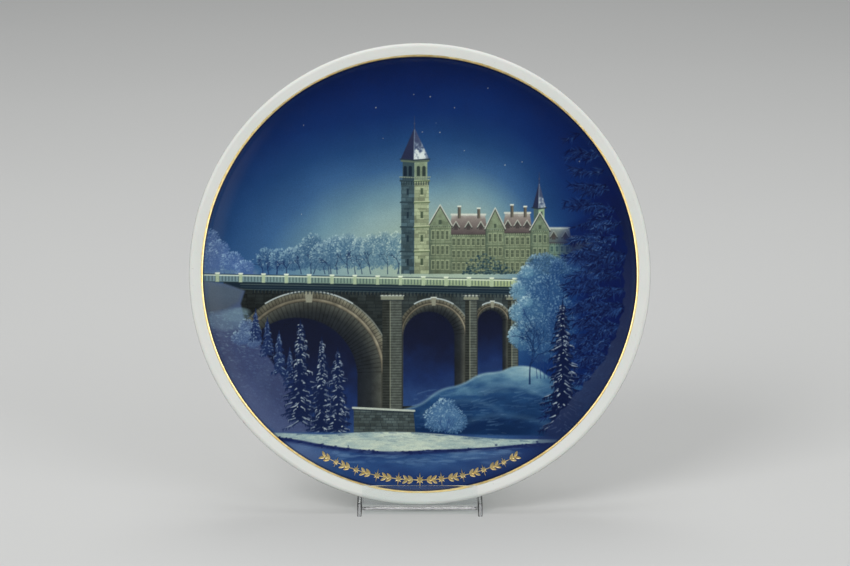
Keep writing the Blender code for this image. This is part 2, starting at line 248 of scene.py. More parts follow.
def well_height(radius):
    """Height of the plate's face over a radius inside the gold line, as an array."""
    slope = np.arcsin(np.clip((radius - WELL_RADIUS) / WALL_CURVE, 0, math.sin(WALL_SLOPE)))
    wall = WELL_HEIGHT + WALL_CURVE * (1 - np.cos(slope))
    centre = turn_centre()
    across = np.clip((centre.x - radius) / TURN_CURVE, math.sin(RIM_SLOPE), math.sin(WALL_SLOPE))
    turn = centre.y + TURN_CURVE * np.sqrt(1 - across**2)
    return np.where(radius > centre.x - TURN_CURVE * math.sin(WALL_SLOPE), turn, wall)


def plate_matrix():
    """The plate's own frame in the row frame: its plane as XY, +Y up the plate, +Z out of its face."""
    low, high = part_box("gold_line")
    reach = TURN_CURVE + CAD_LINE_LIFT
    line_height = turn_centre().y + reach * math.cos(RIM_SLOPE)
    foot = (low + high) / 2 - line_height * FACE_AXIS
    return Matrix.Translation(foot) @ Matrix.Rotation(math.pi / 2 - LEAN, 4, "X")


PLATE = plate_matrix()


# ---- Painting tools ----


def segment_distance(x, y, ax, ay, bx, by):
    """Distance of each point from a segment, and how far along it the nearest point lies, from 0 to 1."""
    dx, dy = bx - ax, by - ay
    share = np.clip(((x - ax) * dx + (y - ay) * dy) / max(dx * dx + dy * dy, 1e-9), 0, 1)
    return np.hypot(x - ax - share * dx, y - ay - share * dy), share


def cloud(x, y, size, seed, octaves=3):
    """Smooth noise of about -1 to 1 with features of this size."""
    total = 0
    for octave in range(octaves):
        lattice = np.random.default_rng(seed + octave).uniform(-1, 1, (64, 64))
        u, v = x / size * 2**octave + 17, y / size * 2**octave + 31
        left, low = np.floor(u).astype(int), np.floor(v).astype(int)
        a, b = u - left, v - low
        a, b = a * a * (3 - 2 * a), b * b * (3 - 2 * b)
        near = lattice[low % 64, left % 64] * (1 - a) + lattice[low % 64, (left + 1) % 64] * a
        far = lattice[(low + 1) % 64, left % 64] * (1 - a) + lattice[(low + 1) % 64, (left + 1) % 64] * a
        total = total + (near * (1 - b) + far * b) * 0.5**octave
    return total


def ramp(value, *stops):
    """Colours along a scale. Each stop is a value and a colour."""
    places = [stop[0] for stop in stops]
    return np.stack([np.interp(value, places, [stop[1][band] for stop in stops]) for band in range(3)], -1)


def blend_tone(first, second, share):
    first, second = np.asarray(first, float), np.asarray(second, float)
    return first + share * (second - first)


class Picture:
    """A square of colour, 0 to 255 a band, that is painted with soft-edged shapes in millimetres."""

    def __init__(self, reach, pitch):
        self.low = -reach
        self.pitch = pitch
        self.count = int(round(2 * reach / pitch)) + 1
        ticks = self.low + pitch * np.arange(self.count)
        self.x, self.y = np.meshgrid(ticks, ticks)
        self.rgb = np.zeros((self.count, self.count, 3))

    def span(self, low, high):
        first = min(max(int((low - self.low) / self.pitch), 0), self.count)
        last = min(max(int((high - self.low) / self.pitch) + 2, first), self.count)
        return slice(first, last)

    def window(self, left, right, bottom, top):
        return self.span(bottom, top), self.span(left, right)

    def around(self, points, room):
        """The window that holds these points and some room round them, and its x and y."""
        left, bottom = points.min(axis=0) - room
        right, top = points.max(axis=0) + room
        where = self.window(left, right, bottom, top)
        return where, self.x[where], self.y[where]

    def lay(self, where, cover, paint):
        """Covers a window with a colour, or with a function of x and y that gives colours."""
        if callable(paint):
            paint = paint(self.x[where], self.y[where])
        patch = self.rgb[where]
        patch += cover[..., None] * (np.asarray(paint, float) - patch)

    def fill(self, points, paint, strength=1.0, soft=0.35):
        """A filled outline."""
        corners = np.asarray(points, float)
        where, x, y = self.around(corners, soft)
        inside = np.zeros(x.shape, bool)
        nearest = np.full(x.shape, 1e9)
        for (ax, ay), (bx, by) in zip(corners, np.roll(corners, -1, axis=0)):
            nearest = np.minimum(nearest, segment_distance(x, y, ax, ay, bx, by)[0])
            if ay != by:
                inside ^= ((ay > y) != (by > y)) & (x < ax + (bx - ax) * (y - ay) / (by - ay))
        edge = np.where(inside, nearest, -nearest)
        self.lay(where, strength * np.clip(0.5 + edge / soft, 0, 1), paint)

    def stroke(self, points, start, end, paint, strength=1.0, soft=0.3):
        """A line through points, whose width runs from start to end."""
        line = np.asarray(points, float)
        where, x, y = self.around(line, max(start, end) / 2 + soft)
        cover = np.zeros(x.shape)
        last = len(line) - 1
        for index in range(last):
            distance, share = segment_distance(x, y, *line[index], *line[index + 1])
            half = (start + (end - start) * (index + share) / last) / 2
            cover = np.maximum(cover, np.clip(0.5 + (half - distance) / soft, 0, 1))
        self.lay(where, strength * cover, paint)

    def line(self, start, end, width, paint, strength=1.0):
        """A straight line of one width."""
        self.stroke([start, end], width, width, paint, strength)

    def dab(self, x, y, width, height, paint, strength=1.0, turn=0.0):
        """A soft oval touch of the brush."""
        reach = max(width, height) / 2
        where = self.window(x - reach, x + reach, y - reach, y + reach)
        dx, dy = self.x[where] - x, self.y[where] - y
        along = (dx * math.cos(turn) + dy * math.sin(turn)) / (width / 2)
        across = (dy * math.cos(turn) - dx * math.sin(turn)) / (height / 2)
        self.lay(where, strength * np.clip(1.6 * (1 - along**2 - across**2), 0, 1), paint)

    def ring(self, x, y, inner, outer, start, stop, paint, strength=1.0, soft=0.3):
        """Part of a round band. Start and stop are degrees, anticlockwise from the right."""
        where = self.window(x - outer - soft, x + outer + soft, y - outer - soft, y + outer + soft)
        dx, dy = self.x[where] - x, self.y[where] - y
        away = np.hypot(dx, dy)
        angle = (np.degrees(np.arctan2(dy, dx)) - start) % 360
        cover = np.clip(0.5 + (away - inner) / soft, 0, 1) * np.clip(0.5 + (outer - away) / soft, 0, 1)
        self.lay(where, strength * cover * (angle <= stop - start), paint)

    def box(self, left, right, bottom, top, paint, strength=1.0, soft=0.3):
        self.fill([(left, bottom), (right, bottom), (right, top), (left, top)], paint, strength, soft)


def round_points(x, y, radius, start, stop, steps=24):
    """Points on an arc for an outline, angles in degrees."""
    turns = np.radians(np.linspace(start, stop, steps))
    return list(zip(x + radius * np.cos(turns), y + radius * np.sin(turns)))


def softened(points, rounds=3):
    """An open path whose corners are cut off, a quarter of each side at a time."""
    path = np.asarray(points, float)
    for _ in range(rounds):
        early = 0.75 * path[:-1] + 0.25 * path[1:]
        late = 0.25 * path[:-1] + 0.75 * path[1:]
        path = np.vstack([path[:1], np.stack([early, late], axis=1).reshape(-1, 2), path[-1:]])
    return path


# ---- The winter evening, a view of no real place, in millimetres from the plate's middle ----

NAVY = (9, 22, 74)
PLASTER = (106, 118, 99)
SLATE = (38, 44, 72)

# Each arch of the bridge: the middle and height of its springing, its radius, and the ground below it.
ARCHES = ((-52.0, -47.0, 34.0, -78.0), (6.5, -29.0, 14.5, -62.0), (34.0, -22.5, 7.0, -50.0))

# Each pier of the bridge: left, right and foot.
PIERS = ((-17.6, -8.4, -66.0), (21.2, 26.8, -54.0), (41.2, 46.0, -48.0))

# Each house: left, right, eaves, ridge, whether its gable faces the front, and how far off it is, 0 to 1.
HOUSES = (
    (70.0, 84.0, 11.0, 17.5, False, 0.9),
    (60.0, 71.0, 14.5, 21.5, False, 0.6),
    (14.0, 31.5, 18.6, 27.8, False, 0.0),
    (39.0, 52.5, 19.2, 28.6, False, 0.0),
    (4.4, 14.6, 22.6, 31.6, True, 0.0),
    (31.0, 39.6, 21.0, 30.2, True, 0.0),
    (52.0, 60.6, 20.4, 28.2, True, 0.1),
)

# Each crown of the thicket: its middle, width and height.
THICKET = (
    (58, 4, 18, 12),
    (68, 2, 16, 14),
    (52, -4, 15, 17),
    (60, -12, 20, 24),
    (51, -18, 15, 18),
    (48, -29, 13, 14),
    (58, -30, 18, 24),
    (67, -24, 16, 28),
    (75, 5, 14, 13),
)


def paint_sky(picture):
    """Night at the edge, with a pale glow low behind the roofs and a few small stars."""
    x, y = picture.x, picture.y
    wide = np.where(x > 18, 62, 150)
    away = np.hypot((x - 18) / wide, (y - 5) / 75) + 0.015 * cloud(x, y, 22, 3)
    picture.rgb[:] = ramp(
        away,
        (0.00, (160, 176, 162)),
        (0.20, (150, 169, 160)),
        (0.38, (128, 155, 164)),
        (0.48, (100, 134, 156)),
        (0.62, (54, 90, 136)),
        (0.78, (28, 62, 112)),
        (0.95, (14, 42, 98)),
        (1.15, (8, 31, 86)),
        (1.50, (5, 21, 68)),
    )
    draw = np.random.default_rng(8)
    for _ in range(16):
        angle, away = draw.uniform(0.5, 2.7), draw.uniform(58, 93)
        size = draw.uniform(0.35, 0.7)
        picture.dab(away * math.cos(angle), away * math.sin(angle), size, size, (236, 226, 196), 0.6)


def frosted_crown(picture, draw, x, y, width, height, dark, light, touches):
    """A round tree top under hoar frost, palest along its upper left edge."""
    picture.dab(x, y, width, height, dark, 0.8)
    for _ in range(touches):
        angle, away = draw.uniform(0, math.tau), math.sqrt(draw.uniform(0, 1))
        across, up = away * math.cos(angle), away * math.sin(angle)
        lit = np.clip(0.25 + 0.85 * away**2 * (0.7 * up - 0.45 * across) + draw.normal(0, 0.22), 0, 1)
        size = draw.uniform(0.6, 1.5)
        place = x + across * width / 2, y + up * height / 2
        turn = angle + draw.normal(0, 0.5)
        picture.dab(*place, size, size * draw.uniform(0.35, 0.7), blend_tone(dark, light, lit), 0.6, turn)


def frosted_crowns(picture, draw, places, dark, light, touches):
    """Several tree tops. Each place is the middle, the width and the height."""
    for place in places:
        frosted_crown(picture, draw, *place, dark, light, touches)


def branches(picture, draw, x, y, angle, length, width, paint, depth):
    """A bare tree, each limb forking into two or three."""
    bend = angle + draw.normal(0, 0.15)
    middle = x + length / 2 * math.cos(angle), y + length / 2 * math.sin(angle)
    tip = middle[0] + length / 2 * math.cos(bend), middle[1] + length / 2 * math.sin(bend)
    picture.stroke([(x, y), middle, tip], width, width * 0.6, paint, 0.85)
    if depth:
        for _ in range(draw.integers(2, 4)):
            turned = bend + draw.uniform(-0.75, 0.75)
            reach = length * draw.uniform(0.6, 0.82)
            branches(picture, draw, *tip, turned, reach, width * 0.62, paint, depth - 1)


def paint_far_trees(picture):
    """A frosted hillside at the left edge, and a row of frosted trees from there to the tower."""
    draw = np.random.default_rng(21)

    def hill(x, y):
        up = y / 22 + 0.12 * cloud(x, y, 6, 23)
        return ramp(up, (0, (96, 124, 156)), (0.5, (78, 104, 158)), (1, (58, 84, 150)))

    slope = softened([(-103, 19), (-97, 17), (-92, 12), (-86, 6), (-76, 1)])
    picture.fill([*slope, (-76, -1), (-103, -1)], hill, 0.85, 3)
    for _ in range(160):
        x = draw.uniform(-99, -78)
        y = draw.uniform(0, 1) * (-x - 78)
        size = draw.uniform(0.6, 1.8)
        picture.dab(x, y, size, 0.8, blend_tone((50, 76, 138), (140, 164, 196), draw.uniform(0, 1)), 0.6)
    bushes = ((-99, 16, 11, 11), (-94, 11, 10, 10), (-98, 6, 12, 11), (-88, 6, 11, 9), (-82, 3, 9, 7))
    frosted_crowns(picture, draw, bushes, (64, 92, 146), (150, 178, 210), 260)
    x = -78.0
    while x < -9:
        x += draw.uniform(3.2, 6.2)
        top = 11 + 7 * min(1, (x + 80) / 40) + draw.normal(0, 1.6)
        near = np.clip((x + 80) / 74, 0, 1)
        dark = blend_tone((36, 68, 112), (84, 118, 140), near)
        light = blend_tone((130, 164, 192), (196, 212, 204), near)
        trunk = blend_tone((18, 34, 80), (40, 60, 86), near)
        frosted_crown(picture, draw, x, top * 0.56, draw.uniform(8, 12), top * 0.9, dark, light, 420)
        for _ in range(draw.integers(1, 3)):
            root = x + draw.normal(0, 1.6)
            branches(picture, draw, root, 0, math.pi / 2 + draw.normal(0, 0.2), top * 0.22, 0.45, trunk, 3)
        for _ in range(12):
            spot = x + draw.normal(0, 2.6), top * draw.uniform(0.35, 0.98)
            picture.dab(*spot, draw.uniform(0.5, 1.1), 0.5, blend_tone(light, (220, 230, 230), 0.4), 0.5)


def stone_courses(base, joint, course, block, seed):
    """Paint for masonry: courses of blocks that differ a little in tone, with thin dark joints."""
    tones = np.random.default_rng(seed).uniform(0.80, 1.14, 509)

    def paint(x, y):
        row = np.floor(y / course).astype(int)
        slide = x + block * tones[row % 509] * 9
        column = np.floor(slide / block).astype(int)
        tone = tones[(row * 31 + column) % 509] * (1 + 0.10 * cloud(x, y, 5, seed))
        gap = np.minimum(y - row * course, slide - column * block)
        share = np.clip(1.4 - gap / 0.22, 0, 1)[..., None] * 0.7
        return blend_tone(np.asarray(base, float) * tone[..., None], joint, share)

    return paint


def plastered(base, seed):
    """Paint for a weathered wall: blotchy, and greyer towards the ground."""

    def paint(x, y):
        mottle = 1 + 0.10 * cloud(x, y, 1.6, seed) + 0.09 * cloud(x, y, 6, seed)
        tone = mottle * np.clip(0.86 + y / 80, 0, 1.1)
        return np.asarray(base, float) * tone[..., None]

    return paint


def window_row(picture, left, right, bottom, top, count, glass, surround):
    """A row of tall windows with pale surrounds and glazing bars."""
    pitch = (right - left) / count
    for index in range(count):
        middle = left + pitch * (index + 0.5)
        half = min(pitch * 0.26, 0.95)
        picture.box(middle - half - 0.3, middle + half + 0.3, bottom - 0.3, top + 0.4, surround, 0.75)
        picture.box(middle - half, middle + half, bottom, top, glass, 0.9)
        picture.line((middle, bottom), (middle, top), 0.2, surround, 0.55)
        bar = (bottom + top) / 2
        picture.line((middle - half, bar), (middle + half, bar), 0.2, surround, 0.55)


def gable(picture, left, right, bottom, peak, wall, snow=0.9):
    """A pointed gable with dark barge boards, snow on them and a small window."""
    middle = (left + right) / 2
    picture.fill([(left, bottom), (right, bottom), (middle, peak)], wall)
    boards = [(left - 0.5, bottom - 0.4), (middle, peak + 0.2), (right + 0.5, bottom - 0.4)]
    picture.stroke(boards, 0.7, 0.7, (60, 62, 62))
    lying = [(x, y + 0.55) for x, y in boards]
    picture.stroke(lying, 0.45, 0.45, (208, 212, 204), snow)
    size = (right - left) * 0.07
    picture.box(middle - size, middle + size, bottom + 0.6, bottom + 0.6 + 3 * size, (62, 74, 66), 0.85)


def paint_house(picture, left, right, eaves, ridge, front, far, seed):
    """One house of the old town, with rows of windows under a gable or a long roof with dormers."""
    haze = (74, 116, 124)
    wall = plastered(blend_tone(PLASTER, haze, 0.75 * far), seed)
    glass = blend_tone((54, 66, 58), (48, 82, 94), far)
    surround = blend_tone((164, 172, 142), haze, 0.7 * far)
    picture.box(left, right, 0, eaves, wall)
    picture.box(left, left + 1.6, 0, eaves, (58, 74, 70), 0.35, 1.2)
    count = max(2, round((right - left) / (2.6 - 0.2 * far)))
    for floor in range(3):
        low = eaves * (0.10 + 0.31 * floor)
        window_row(picture, left + 0.7, right - 0.7, low, low + eaves * 0.17, count, glass, surround)
        for drop, tone in ((0.22, (84, 96, 78)), (0.25, surround)):
            picture.line((left, low + eaves * drop), (right, low + eaves * drop), 0.3, tone, 0.5)
    for index in range(1, count):
        x = left + 0.7 + (right - left - 1.4) * index / count
        picture.line((x, 0.5), (x, eaves - 0.5), 0.35, (84, 98, 80), 0.45)
    for x in np.arange(left + 0.5, right, 0.9):
        picture.dab(x, eaves - 0.5, 0.5, 0.9, (52, 60, 58), 0.6)
    picture.line((left, 0), (left, eaves), 0.4, (62, 76, 68), 0.8)
    if front:
        gable(picture, left, right, eaves, ridge, wall)
        return

    def tiles(x, y):
        up = (y - eaves) / (ridge - eaves) + 0.06 * cloud(x, y, 3, 9) + 0.04 * np.sin(y * 9)
        snowy = (0.8, (138, 129, 127)), (1, (172, 170, 168))
        near = ramp(up, (0, (84, 76, 78)), (0.4, (110, 101, 101)), *snowy)
        return blend_tone(near, haze, 0.6 * far)

    picture.fill([(left - 0.4, eaves), (right + 0.4, eaves), (right - 1, ridge), (left + 1, ridge)], tiles)
    picture.line((left - 0.4, eaves), (right + 0.4, eaves), 0.5, (70, 64, 66), 0.9)
    picture.line((left + 0.8, ridge), (right - 0.8, ridge), 0.9, (204, 206, 200), 0.9 - 0.5 * far)
    dormers = max(1, int((right - left) / 4.4))
    for index in range(dormers):
        x = left + (right - left) * (index + 0.5) / dormers
        low = eaves + 0.22 * (ridge - eaves)
        gable(picture, x - 1.1, x + 1.1, low + 1.2, low + 3.2, (72, 64, 66), 0.7 - 0.5 * far)
        picture.box(x - 0.9, x + 0.9, low, low + 1.3, (66, 62, 64), 0.85)


def paint_chimney(picture, x, bottom, top):
    picture.box(x - 0.7, x + 0.7, bottom, top, (104, 98, 88))
    picture.box(x - 0.7, x - 0.1, bottom, top, (64, 64, 66), 0.8)
    picture.box(x - 0.9, x + 0.9, top - 0.2, top + 0.5, (210, 214, 208))


def paint_spire(picture, left, right, base, peak, tip):
    """A four-sided slate roof seen on its corner: dark on the left, snow lying on the right."""
    corner = left + (right - left) * 0.46
    crown = corner + 0.3
    picture.fill([(left, base), (corner, base - 0.5), (crown, peak)], SLATE)

    def lit_side(x, y):
        up = (y - base) / (peak - base) + 0.35 * cloud(x, y, 1.6, 13)
        high = (0.5, (66, 78, 108)), (1, (58, 66, 98))
        return ramp(up, (0, (206, 214, 220)), (0.25, (120, 134, 158)), *high)

    picture.fill([(corner, base - 0.5), (right, base), (crown, peak)], lit_side)
    picture.stroke([(corner, base - 0.5), (crown, peak)], 0.3, 0.2, (150, 162, 182), 0.8)
    eaves = [(left - 0.2, base), (corner, base - 0.5), (right + 0.2, base)]
    picture.stroke(eaves, 0.6, 0.6, (40, 52, 66))
    picture.stroke([(crown, peak - 0.6), (crown, tip)], 0.5, 0.2, (44, 56, 90))
    picture.dab(crown, peak + (tip - peak) * 0.35, 1.0, 1.0, (52, 64, 96))


def paint_tower(picture):
    """A square bell tower without a clock: shaded on the left, lit on the right, with an open bell stage."""
    left, corner, right = -8.8, -2.6, 4.2
    courses = 1.7
    picture.box(left, corner, 0, 44, stone_courses((68, 88, 98), (42, 60, 72), courses, 3.0, 11))
    picture.box(corner, right, 0, 44, stone_courses((142, 151, 126), (104, 114, 94), courses, 3.0, 12))
    for height in (10.5, 22, 33.5, 43.6):
        picture.line((left - 0.3, height), (corner, height - 0.25), 0.7, (44, 60, 70))
        picture.line((corner, height - 0.25), (right + 0.3, height), 0.7, (98, 112, 88))
        picture.line((corner, height + 0.3), (right + 0.3, height + 0.55), 0.35, (196, 204, 172), 0.9)
    for low in (4, 15, 26, 37):
        picture.box(-6.2, -5.2, low, low + 3, (30, 44, 56), 0.9)
        picture.box(0.3, 1.5, low, low + 3.2, (62, 76, 62), 0.9)
        picture.line((0.1, low - 0.2), (1.7, low - 0.2), 0.35, (196, 204, 172), 0.8)
    for x in np.arange(left + 0.2, right + 0.2, 1.15):
        picture.stroke([(x, 41.9), (x, 43.3)], 0.55, 0.3, (34, 48, 56), 0.8)
    for low in (7.5, 18.8, 30):
        picture.box(-7.6, -4.0, low, low + 0.9, (36, 50, 60), 0.5)
        picture.box(-0.9, 2.7, low, low + 0.9, (104, 114, 92), 0.6)
    picture.box(left + 0.7, corner, 44, 53.5, (54, 72, 82))
    picture.box(corner, right - 0.7, 44, 53.5, plastered((116, 130, 112), 15))
    for x in (-6.9, -4.5, -0.7, 1.9):
        tone = (22, 34, 48) if x < corner else (44, 56, 56)
        opening = [(x - 0.8, 45.8)] + round_points(x, 49.8, 0.8, 180, 0, 9) + [(x + 0.8, 45.8)]
        picture.fill(opening, tone, 0.95)
    picture.stroke([(left - 0.6, 45.4), (corner, 45.1), (right + 0.6, 45.4)], 0.5, 0.5, (150, 160, 140), 0.9)
    for x in np.arange(left - 0.4, right + 0.7, 0.8):
        tone = (96, 108, 100) if x > corner else (42, 56, 66)
        picture.line((x, 44.0), (x, 45.3), 0.3, tone, 0.9)
    picture.stroke([(left + 0.2, 53), (corner, 52.6), (right - 0.2, 53)], 0.9, 0.9, (88, 102, 92))
    paint_spire(picture, left - 0.2, right + 0.2, 53.8, 68.5, 74)


def paint_town(picture):
    """The old town behind the bridge: a chapel, a row of houses and the bell tower."""
    picture.box(53.4, 58.4, 18, 31, plastered((120, 140, 118), 17))
    picture.box(53.4, 55.6, 18, 31, (56, 74, 80), 0.8)
    picture.box(56.6, 57.5, 26.8, 29.2, (48, 60, 60), 0.9)
    paint_spire(picture, 52.8, 59.0, 31, 43, 47.5)
    for seed, (left, right, eaves, ridge, front, far) in enumerate(HOUSES, 31):
        paint_house(picture, left, right, eaves, ridge, front, far, seed)
    for x, bottom, top in ((18.5, 26, 31.5), (27.6, 26, 30.6), (43.2, 26.5, 32.2), (49.4, 26.5, 31.4)):
        paint_chimney(picture, x, bottom, top)
    paint_tower(picture)
    draw = np.random.default_rng(5)
    for _ in range(260):
        x = draw.triangular(20, 30, 46)
        y = draw.uniform(0, 1) ** 1.5 * (10 - 0.55 * abs(x - 30))
        tone = blend_tone((30, 52, 66), (92, 114, 112), draw.uniform(0, 1) ** 2)
        picture.dab(x, y, draw.uniform(0.6, 1.6), 0.9, tone, 0.75)


def paint_bridge(picture):
    """A stone bridge of three round arches that shrink into the distance, lit from the right."""
    courses = stone_courses((56, 64, 66), (28, 35, 42), 1.6, 4.0, 41)

    def wall(x, y):
        light = np.interp(x, (-90, -40, 0, 45), (0.52, 0.66, 0.9, 1.12)) * np.clip(1.08 + y / 150, 0.5, 1.1)
        return courses(x, y) * light[..., None]

    picture.fill([(-92, -4), (46, -4), (46, -48), (22, -57), (-6, -68), (-24, -68), (-92, -68)], wall)
    for arch in ARCHES:
        paint_arch(picture, *arch)
    for left, right, bottom in PIERS:
        paint_pier(picture, left, right, bottom)
    paint_parapet(picture)


def paint_arch(picture, x, y, radius, ground):
    """A round arch: a ring of wedge stones, the vault's lit inside on the right, and the dark beyond."""
    thick = 1.3 + radius * 0.10
    shift = radius * 0.17

    def vault(px, py):
        angle = np.arctan2(np.maximum(py - y, 0), px - x)
        depth = np.hypot(px - x, np.maximum(py - y, 0)) / radius
        tone = ramp(depth, (0.6, (22, 27, 38)), (0.85, (38, 42, 46)), (1, (74, 76, 72)))
        course = np.clip(1.2 - np.abs((angle * radius / 2.2) % 1 - 0.5) * 6, 0, 1) * 0.25
        return tone * (1 - course - 0.08 * cloud(px, py, 2, 53))[..., None]

    def beyond(px, py):
        deep = (py - ground) / (y + radius - ground) + 0.06 * cloud(px, py, 5, 51)
        night = (0.6, (20, 26, 52)), (1, (18, 22, 40))
        return ramp(deep, (0, (40, 66, 116)), (0.3, (24, 42, 88)), *night)

    feet = [(x + radius, ground), (x - radius, ground)]
    picture.fill(round_points(x, y, radius, 180, 0, 48) + feet, vault)
    inner = radius - shift
    middle = x - shift * 0.95
    feet = [(middle + inner, ground), (middle - inner, ground)]
    picture.fill(round_points(middle, y - shift * 0.3, inner, 180, 0, 48) + feet, beyond, 1.0, 0.6)
    paint_ring(picture, x, y, radius, thick)
    for side in (-1, 1):
        column = x + side * (radius + thick / 2)
        tone = (74, 74, 68) if side > 0 else (52, 54, 54)
        picture.line((column, y), (column, ground), thick, tone, 0.8)


def paint_ring(picture, x, y, radius, thick):
    """The wedge stones of an arch, a moulding round them, snow on the crown and a keystone."""

    def stones(px, py):
        angle = np.arctan2(py - y, px - x)
        depth = (np.hypot(px - x, py - y) - radius) / thick
        joint = np.clip(1.3 - np.abs((angle * radius / 1.5) % 1 - 0.5) * 8, 0, 1) * (depth > 0.35)
        face = (0.45, (86, 83, 74)), (0.8, (112, 110, 98)), (1, (90, 92, 86))
        tone = ramp(depth, (0, (70, 66, 60)), (0.2, (124, 118, 104)), *face)
        light = np.interp(np.cos(angle), (-1, 1), (0.78, 1.12)) * (1 + 0.12 * cloud(px, py, 2.5, 55))
        return tone * (light * (1 - 0.4 * joint))[..., None]

    picture.ring(x, y, radius, radius + thick, 0, 180, stones)
    picture.ring(x, y, radius + thick * 0.33, radius + thick * 0.33 + 0.3, 0, 180, (46, 46, 46), 0.7)
    picture.ring(x, y, radius + thick - 0.1, radius + thick + 0.5, 58, 122, (186, 196, 202), 0.9)
    picture.ring(x, y, radius + thick - 0.1, radius + thick + 0.3, 8, 58, (138, 144, 140), 0.8)
    key = thick * 0.3
    crown = y + radius
    high = crown + thick + 0.7
    stone = [(x - key, crown - 0.4), (x + key, crown - 0.4), (x + key * 1.5, high), (x - key * 1.5, high)]
    picture.fill(stone, (136, 136, 124))
    picture.line(stone[3], stone[2], 0.5, (214, 220, 218), 0.9)


def paint_pier(picture, left, right, bottom):
    """A banded pier with a shaded left side, capped by a ledge with snow."""
    edge = left + (right - left) * 0.40

    def banded(x, y):
        band = np.abs((y / 1.25) % 1 - 0.5) * 2
        lit = np.where(x < edge, 0.60, 1.0) * (0.70 + 0.38 * band) * (1 + 0.10 * cloud(x, y, 1.5, 57))
        return np.asarray((84, 90, 87), float) * lit[..., None]

    picture.box(left, right, bottom, -9.4, banded)
    picture.line((edge, bottom), (edge, -9.4), 0.35, (158, 162, 146), 0.7)
    picture.line((right, bottom), (right, -9.4), 0.4, (46, 50, 54), 0.7)
    picture.box(left - 0.7, right + 0.7, -12.2, -10.4, (122, 126, 114))
    picture.line((left - 0.8, -10.2), (right + 0.8, -10.2), 0.5, (206, 212, 208), 0.9)
    picture.line((left - 0.7, -12.4), (right + 0.7, -12.4), 0.4, (36, 42, 48), 0.9)


def deck_line(x):
    """Height of the roadway, which falls a little to the right."""
    return -0.2 - 0.018 * (x + 98)


def paint_parapet(picture):
    """The roadway's dark cornice, and the pale balustrade with its posts and a cap of snow."""

    def along(left, right, drop):
        return [(x, deck_line(x) + drop) for x in (left, right)]

    picture.fill(along(-92, 46, -3.2) + along(-76, 46, -7.2)[::-1] + [(-88, -6.2)], (24, 38, 52))
    for drop, tone in ((-4.4, (84, 98, 98)), (-5.6, (50, 66, 76)), (-6.8, (70, 84, 84))):
        picture.stroke(along(-84, 46, drop), 0.4, 0.4, tone, 0.8)
    for x in np.arange(-78, 45, 1.7):
        picture.stroke([(x, deck_line(x) - 7.2), (x, deck_line(x) - 8.4)], 0.8, 0.5, (22, 32, 42), 0.7)
        picture.line((x + 0.5, deck_line(x) - 7.2), (x + 0.5, deck_line(x) - 8.2), 0.3, (84, 92, 90), 0.5)

    def rail(x, y):
        return ramp((x + 98) / 140, (0, (112, 136, 150)), (0.5, (126, 148, 134)), (1, (166, 180, 138)))

    picture.fill(along(-103, 46, 0.2) + along(-103, 46, -3.4)[::-1], rail, 0.95)
    for x in np.arange(-101.5, 45, 1.5):
        picture.line((x, deck_line(x) - 0.9), (x, deck_line(x) - 2.8), 0.5, (48, 66, 74), 0.65)
    picture.stroke(along(-103, 46, -0.4), 0.45, 0.45, (222, 230, 216), 0.85)
    picture.stroke(along(-103, 46, 0.15), 0.4, 0.4, (26, 40, 58), 0.7)
    picture.stroke(along(-103, 46, -3.5), 0.45, 0.45, (34, 50, 58), 0.85)
    for x in np.arange(-94.7, 46, 10.7):
        y = deck_line(x)
        picture.box(x - 0.8, x + 0.8, y - 3.5, y + 0.5, (168, 184, 156), 0.9)
        picture.box(x - 1.1, x + 1.1, y + 0.2, y + 0.9, (226, 232, 218), 0.9)


def paint_left_bank(picture):
    """The snowy bank on the left, violet in shadow, where the bridge begins."""
    draw = np.random.default_rng(71)

    def bank(x, y):
        lit = np.clip((y + 32) / 34, 0, 1) + 0.2 * cloud(x, y, 9, 73)
        return ramp(lit, (0, (56, 66, 104)), (0.5, (68, 82, 116)), (1, (82, 98, 122)))

    outline = [(-103, -3), (-91, -4.6), (-82, -8), (-84, -14), (-82, -22), (-76, -32), (-66, -46), (-56, -62)]
    outline += [(-48, -71), (-40, -76), (-66, -76), (-103, -50)]
    picture.fill(outline, bank, 1.0, 0.9)

    def path(x, y):
        return ramp(y + 3 * cloud(x * 0.4, y, 6, 75), (-18, (74, 84, 98)), (-5, (78, 92, 110)))

    picture.fill([(-98, -4.6), (-83, -7.6), (-85, -13), (-91, -17), (-101, -19)], path, 0.8, 2)
    for _ in range(1500):
        y = draw.uniform(-75, -17)
        right = -82 + 0.62 * (-17 - y)
        x = draw.uniform(-100, right)
        bright = draw.uniform(0, 1) ** 2 * np.clip(1.1 + (y + 17) / 60, 0.35, 1)
        tone = blend_tone((56, 70, 112), (136, 164, 180), bright)
        picture.dab(x, y, draw.uniform(0.5, 2.4), draw.uniform(0.4, 0.9), tone, 0.3, draw.uniform(-0.9, 0.2))
    for x, y, width, height in ((-91, -22, 22, 11), (-86, -19, 16, 8), (-84, -17.5, 10, 4)):
        picture.dab(x, y, width, height, (120, 148, 164), 0.34)
    bushes = ((-81, -25, 8, 8), (-78, -31, 8, 8), (-84, -30, 9, 7))
    frosted_crowns(picture, draw, bushes, (64, 84, 126), (140, 164, 186), 200)


